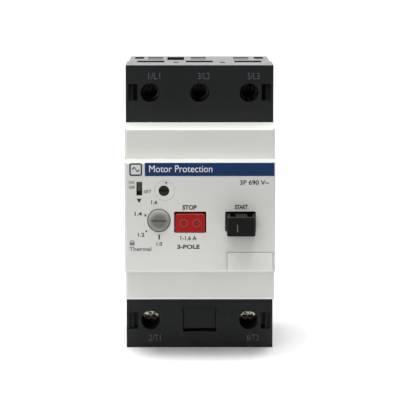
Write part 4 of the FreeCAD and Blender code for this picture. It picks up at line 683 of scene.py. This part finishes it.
def print_pointers():
    """The triangles that point at the slider and at the test button."""
    plate("slider_pointer",
          [pointer(SLIDER_POINTER_PLACE, SLIDER_POINTER_WIDTH, SLIDER_POINTER_TALL)],
          "black_ink", "control_fascia")
    plate("test_pointer", [pointer(TEST_POINTER_PLACE, TEST_POINTER_SIZE, TEST_POINTER_SIZE)],
          "dark_ink", "control_fascia")


def print_test_ring():
    """A thin ring round the test button."""
    plate("test_ring", ring(TEST_RING_PLACE, TEST_RING_RADIUS, TEST_RING_LINE), "faint_ink",
          "control_fascia")


def print_padlock():
    """A small padlock under the dial: a block with half a ring on it."""
    plate("padlock_body", [upright_bar(PADLOCK_PLACE, PADLOCK_WIDTH, PADLOCK_TALL)], "grey_ink",
          "control_fascia")
    bow_place = (PADLOCK_PLACE[0], PADLOCK_PLACE[1] + PADLOCK_TALL / 2)
    plate("padlock_bow", ring(bow_place, BOW_RADIUS, BOW_LINE, end=180, steps=12), "grey_ink",
          "control_fascia")


def mark_stop_key():
    """The two raised rings on STOP with painted highlight, and their middles, which lie lower, with
    painted shade.
    """
    for name, side in (("left", -1), ("right", 1)):
        centre = beside("stop_button", side * STOP_RING_ACROSS, 0.0)
        plate(f"stop_ring_{name}", ring(centre, STOP_RING_RADIUS, STOP_RING_LINE),
              "red_painted_highlight", "stop_button")
        plate(f"stop_middle_{name}", [disc(centre, STOP_MIDDLE_RADIUS)], "red_painted_shade",
              "stop_button", sunk=STOP_RING_RAISED)


def mark_terminals():
    """Raised terminal names on the black housing, over or under each driver hole."""
    for end, texts in TERMINAL_NAMES.items():
        for pole, text in zip(POLES, texts):
            if text:
                place = beside(f"{end}_screw_{pole}", TERMINAL_NAME_ACROSS,
                               TERMINAL_NAME_RISE[end])
                lettering(f"{end}_name_{pole}", text, place, TERMINAL_NAME_WIDTH,
                          TERMINAL_NAME_TALL, "dark_letters", "terminal_housing", PLAIN, EMBOSS)


# ---------------------------------------------------------------- springs


def press_springs():
    """Copies of the springs that joints deform, riding with their bodies in place of the CAD nodes.
    """
    for joint in JOINTS.values():
        for spring in joint.get("deforming_nodes", []):
            node = spring["node"]
            coil = finished_piece("pressed_" + node, NODES[node].data.copy(), "spring_wire", node)
            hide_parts(node)
            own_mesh(coil)


# ---------------------------------------------------------------- studio

FLOOR_SIZE = 6.0
FLOOR_GAP = 0.1
FLOOR_LOW, FLOOR_HIGH = (0.93, 0.93, 0.93, 1), (0.97, 0.97, 0.97, 1)
FLOOR_BEYOND = (0.03, 0.03, 0.03, 1)
TABLE_START, TABLE_END = 0.12, 0.3
LIT_MIDDLE = (0, -0.04, 0)
BEHIND = (0.0, 3.8, 0.0)
# soft boxes: place, where it points, width and height in metres, power in watts
Softbox = namedtuple("Softbox", "name place target size power")
SOFTBOXES = (
    Softbox("top_box", (-0.12, -0.36, 1.0), LIT_MIDDLE, (0.9, 0.7), 12.0),
    Softbox("front_box", (-0.5, -1.2, 0.4), LIT_MIDDLE, (0.9, 0.6), 3.0),
    Softbox("back_box", (0.0, 3.8, 2.4), BEHIND, (6.0, 5.0), 120.0),
)
WORLD_LOW, WORLD_HIGH = 0.045, 0.54
WORLD_RISE = (-0.9, 0.2)
HEIGHT_WEIGHT = 1.2
BACKDROP = 1.1
BACKDROP_RISE = (0.6, 0.95)
# the camera, as fitted to the photo's perspective
CAMERA_TARGET = (0.2365, -48.0, 1.5614)
CAMERA_DISTANCE = 0.95458
CAMERA_ELEVATION = 7.249
CAMERA_AZIMUTH = -0.286
CAMERA_LENS = 200.95
SENSOR_WIDTH = 36.0
NEAREST_SEEN, FARTHEST_SEEN = 0.05, 50.0


def add_floor():
    """A wide floor a hair under the object."""
    mesh = bpy.data.meshes.new("floor")
    shape = bmesh.new()
    bmesh.ops.create_grid(shape, x_segments=2, y_segments=2, size=FLOOR_SIZE)
    shape.to_mesh(mesh)
    shape.free()
    floor = bpy.data.objects.new("floor", mesh)
    floor.location = (0, 0, CAD_BOX[0].z - FLOOR_GAP * MM)
    bpy.context.scene.collection.objects.link(floor)
    mesh.materials.append(floor_finish())


def add_lights():
    """Soft boxes above, in front and behind."""
    for box in SOFTBOXES:
        light = bpy.data.lights.new(box.name, "AREA")
        light.shape = "RECTANGLE"
        light.size, light.size_y = box.size
        light.energy = box.power
        lamp = bpy.data.objects.new(box.name, light)
        lamp.location = box.place
        aim = Vector(box.target) - Vector(box.place)
        lamp.rotation_euler = aim.to_track_quat("-Z", "Y").to_euler()
        bpy.context.scene.collection.objects.link(lamp)


def add_surround():
    """White to the camera; for light, dim low in front and bright behind the object."""
    world = bpy.data.worlds.new("studio")
    world.use_nodes = True
    graph = Graph(world.node_tree)
    direction = graph.split(graph.add("ShaderNodeTexCoord").outputs["Generated"])
    lift = graph.math("MULTIPLY_ADD", direction["Z"], HEIGHT_WEIGHT, direction["Y"])
    general = graph.ranged(lift, WORLD_LOW, WORLD_HIGH, *WORLD_RISE, ease="SMOOTHSTEP")
    behind = graph.ranged(direction["Y"], 0.0, BACKDROP, *BACKDROP_RISE, ease="SMOOTHSTEP")
    seen = graph.add("ShaderNodeMix", {
        "Factor": graph.camera_ray(), "A": graph.math("ADD", general, behind), "B": 1.0})
    background = graph.add("ShaderNodeBackground", {
        "Color": (1, 1, 1, 1), "Strength": seen.outputs["Result"]})
    graph.add("ShaderNodeOutputWorld", {"Surface": background.outputs["Background"]})
    bpy.context.scene.world = world
    bpy.context.scene.view_settings.view_transform = "Standard"


def add_camera():
    """A long lens a little above the object, square to its front."""
    elevation, azimuth = math.radians(CAMERA_ELEVATION), math.radians(CAMERA_AZIMUTH)
    back = Vector((math.sin(azimuth) * math.cos(elevation),
                   -math.cos(azimuth) * math.cos(elevation), math.sin(elevation)))
    data = bpy.data.cameras.new("camera")
    data.sensor_width = SENSOR_WIDTH
    data.lens = CAMERA_LENS
    data.clip_start, data.clip_end = NEAREST_SEEN, FARTHEST_SEEN
    camera = bpy.data.objects.new("camera", data)
    camera.location = Vector(CAMERA_TARGET) * MM + back * CAMERA_DISTANCE
    camera.rotation_euler = (-back).to_track_quat("-Z", "Y").to_euler()
    bpy.context.scene.collection.objects.link(camera)
    bpy.context.scene.camera = camera


dress_cad_nodes()
print_labels()
print_scale()
print_emblem()
print_pointers()
print_test_ring()
print_padlock()
mark_stop_key()
mark_terminals()
press_springs()
add_floor()
add_lights()
add_surround()
add_camera()
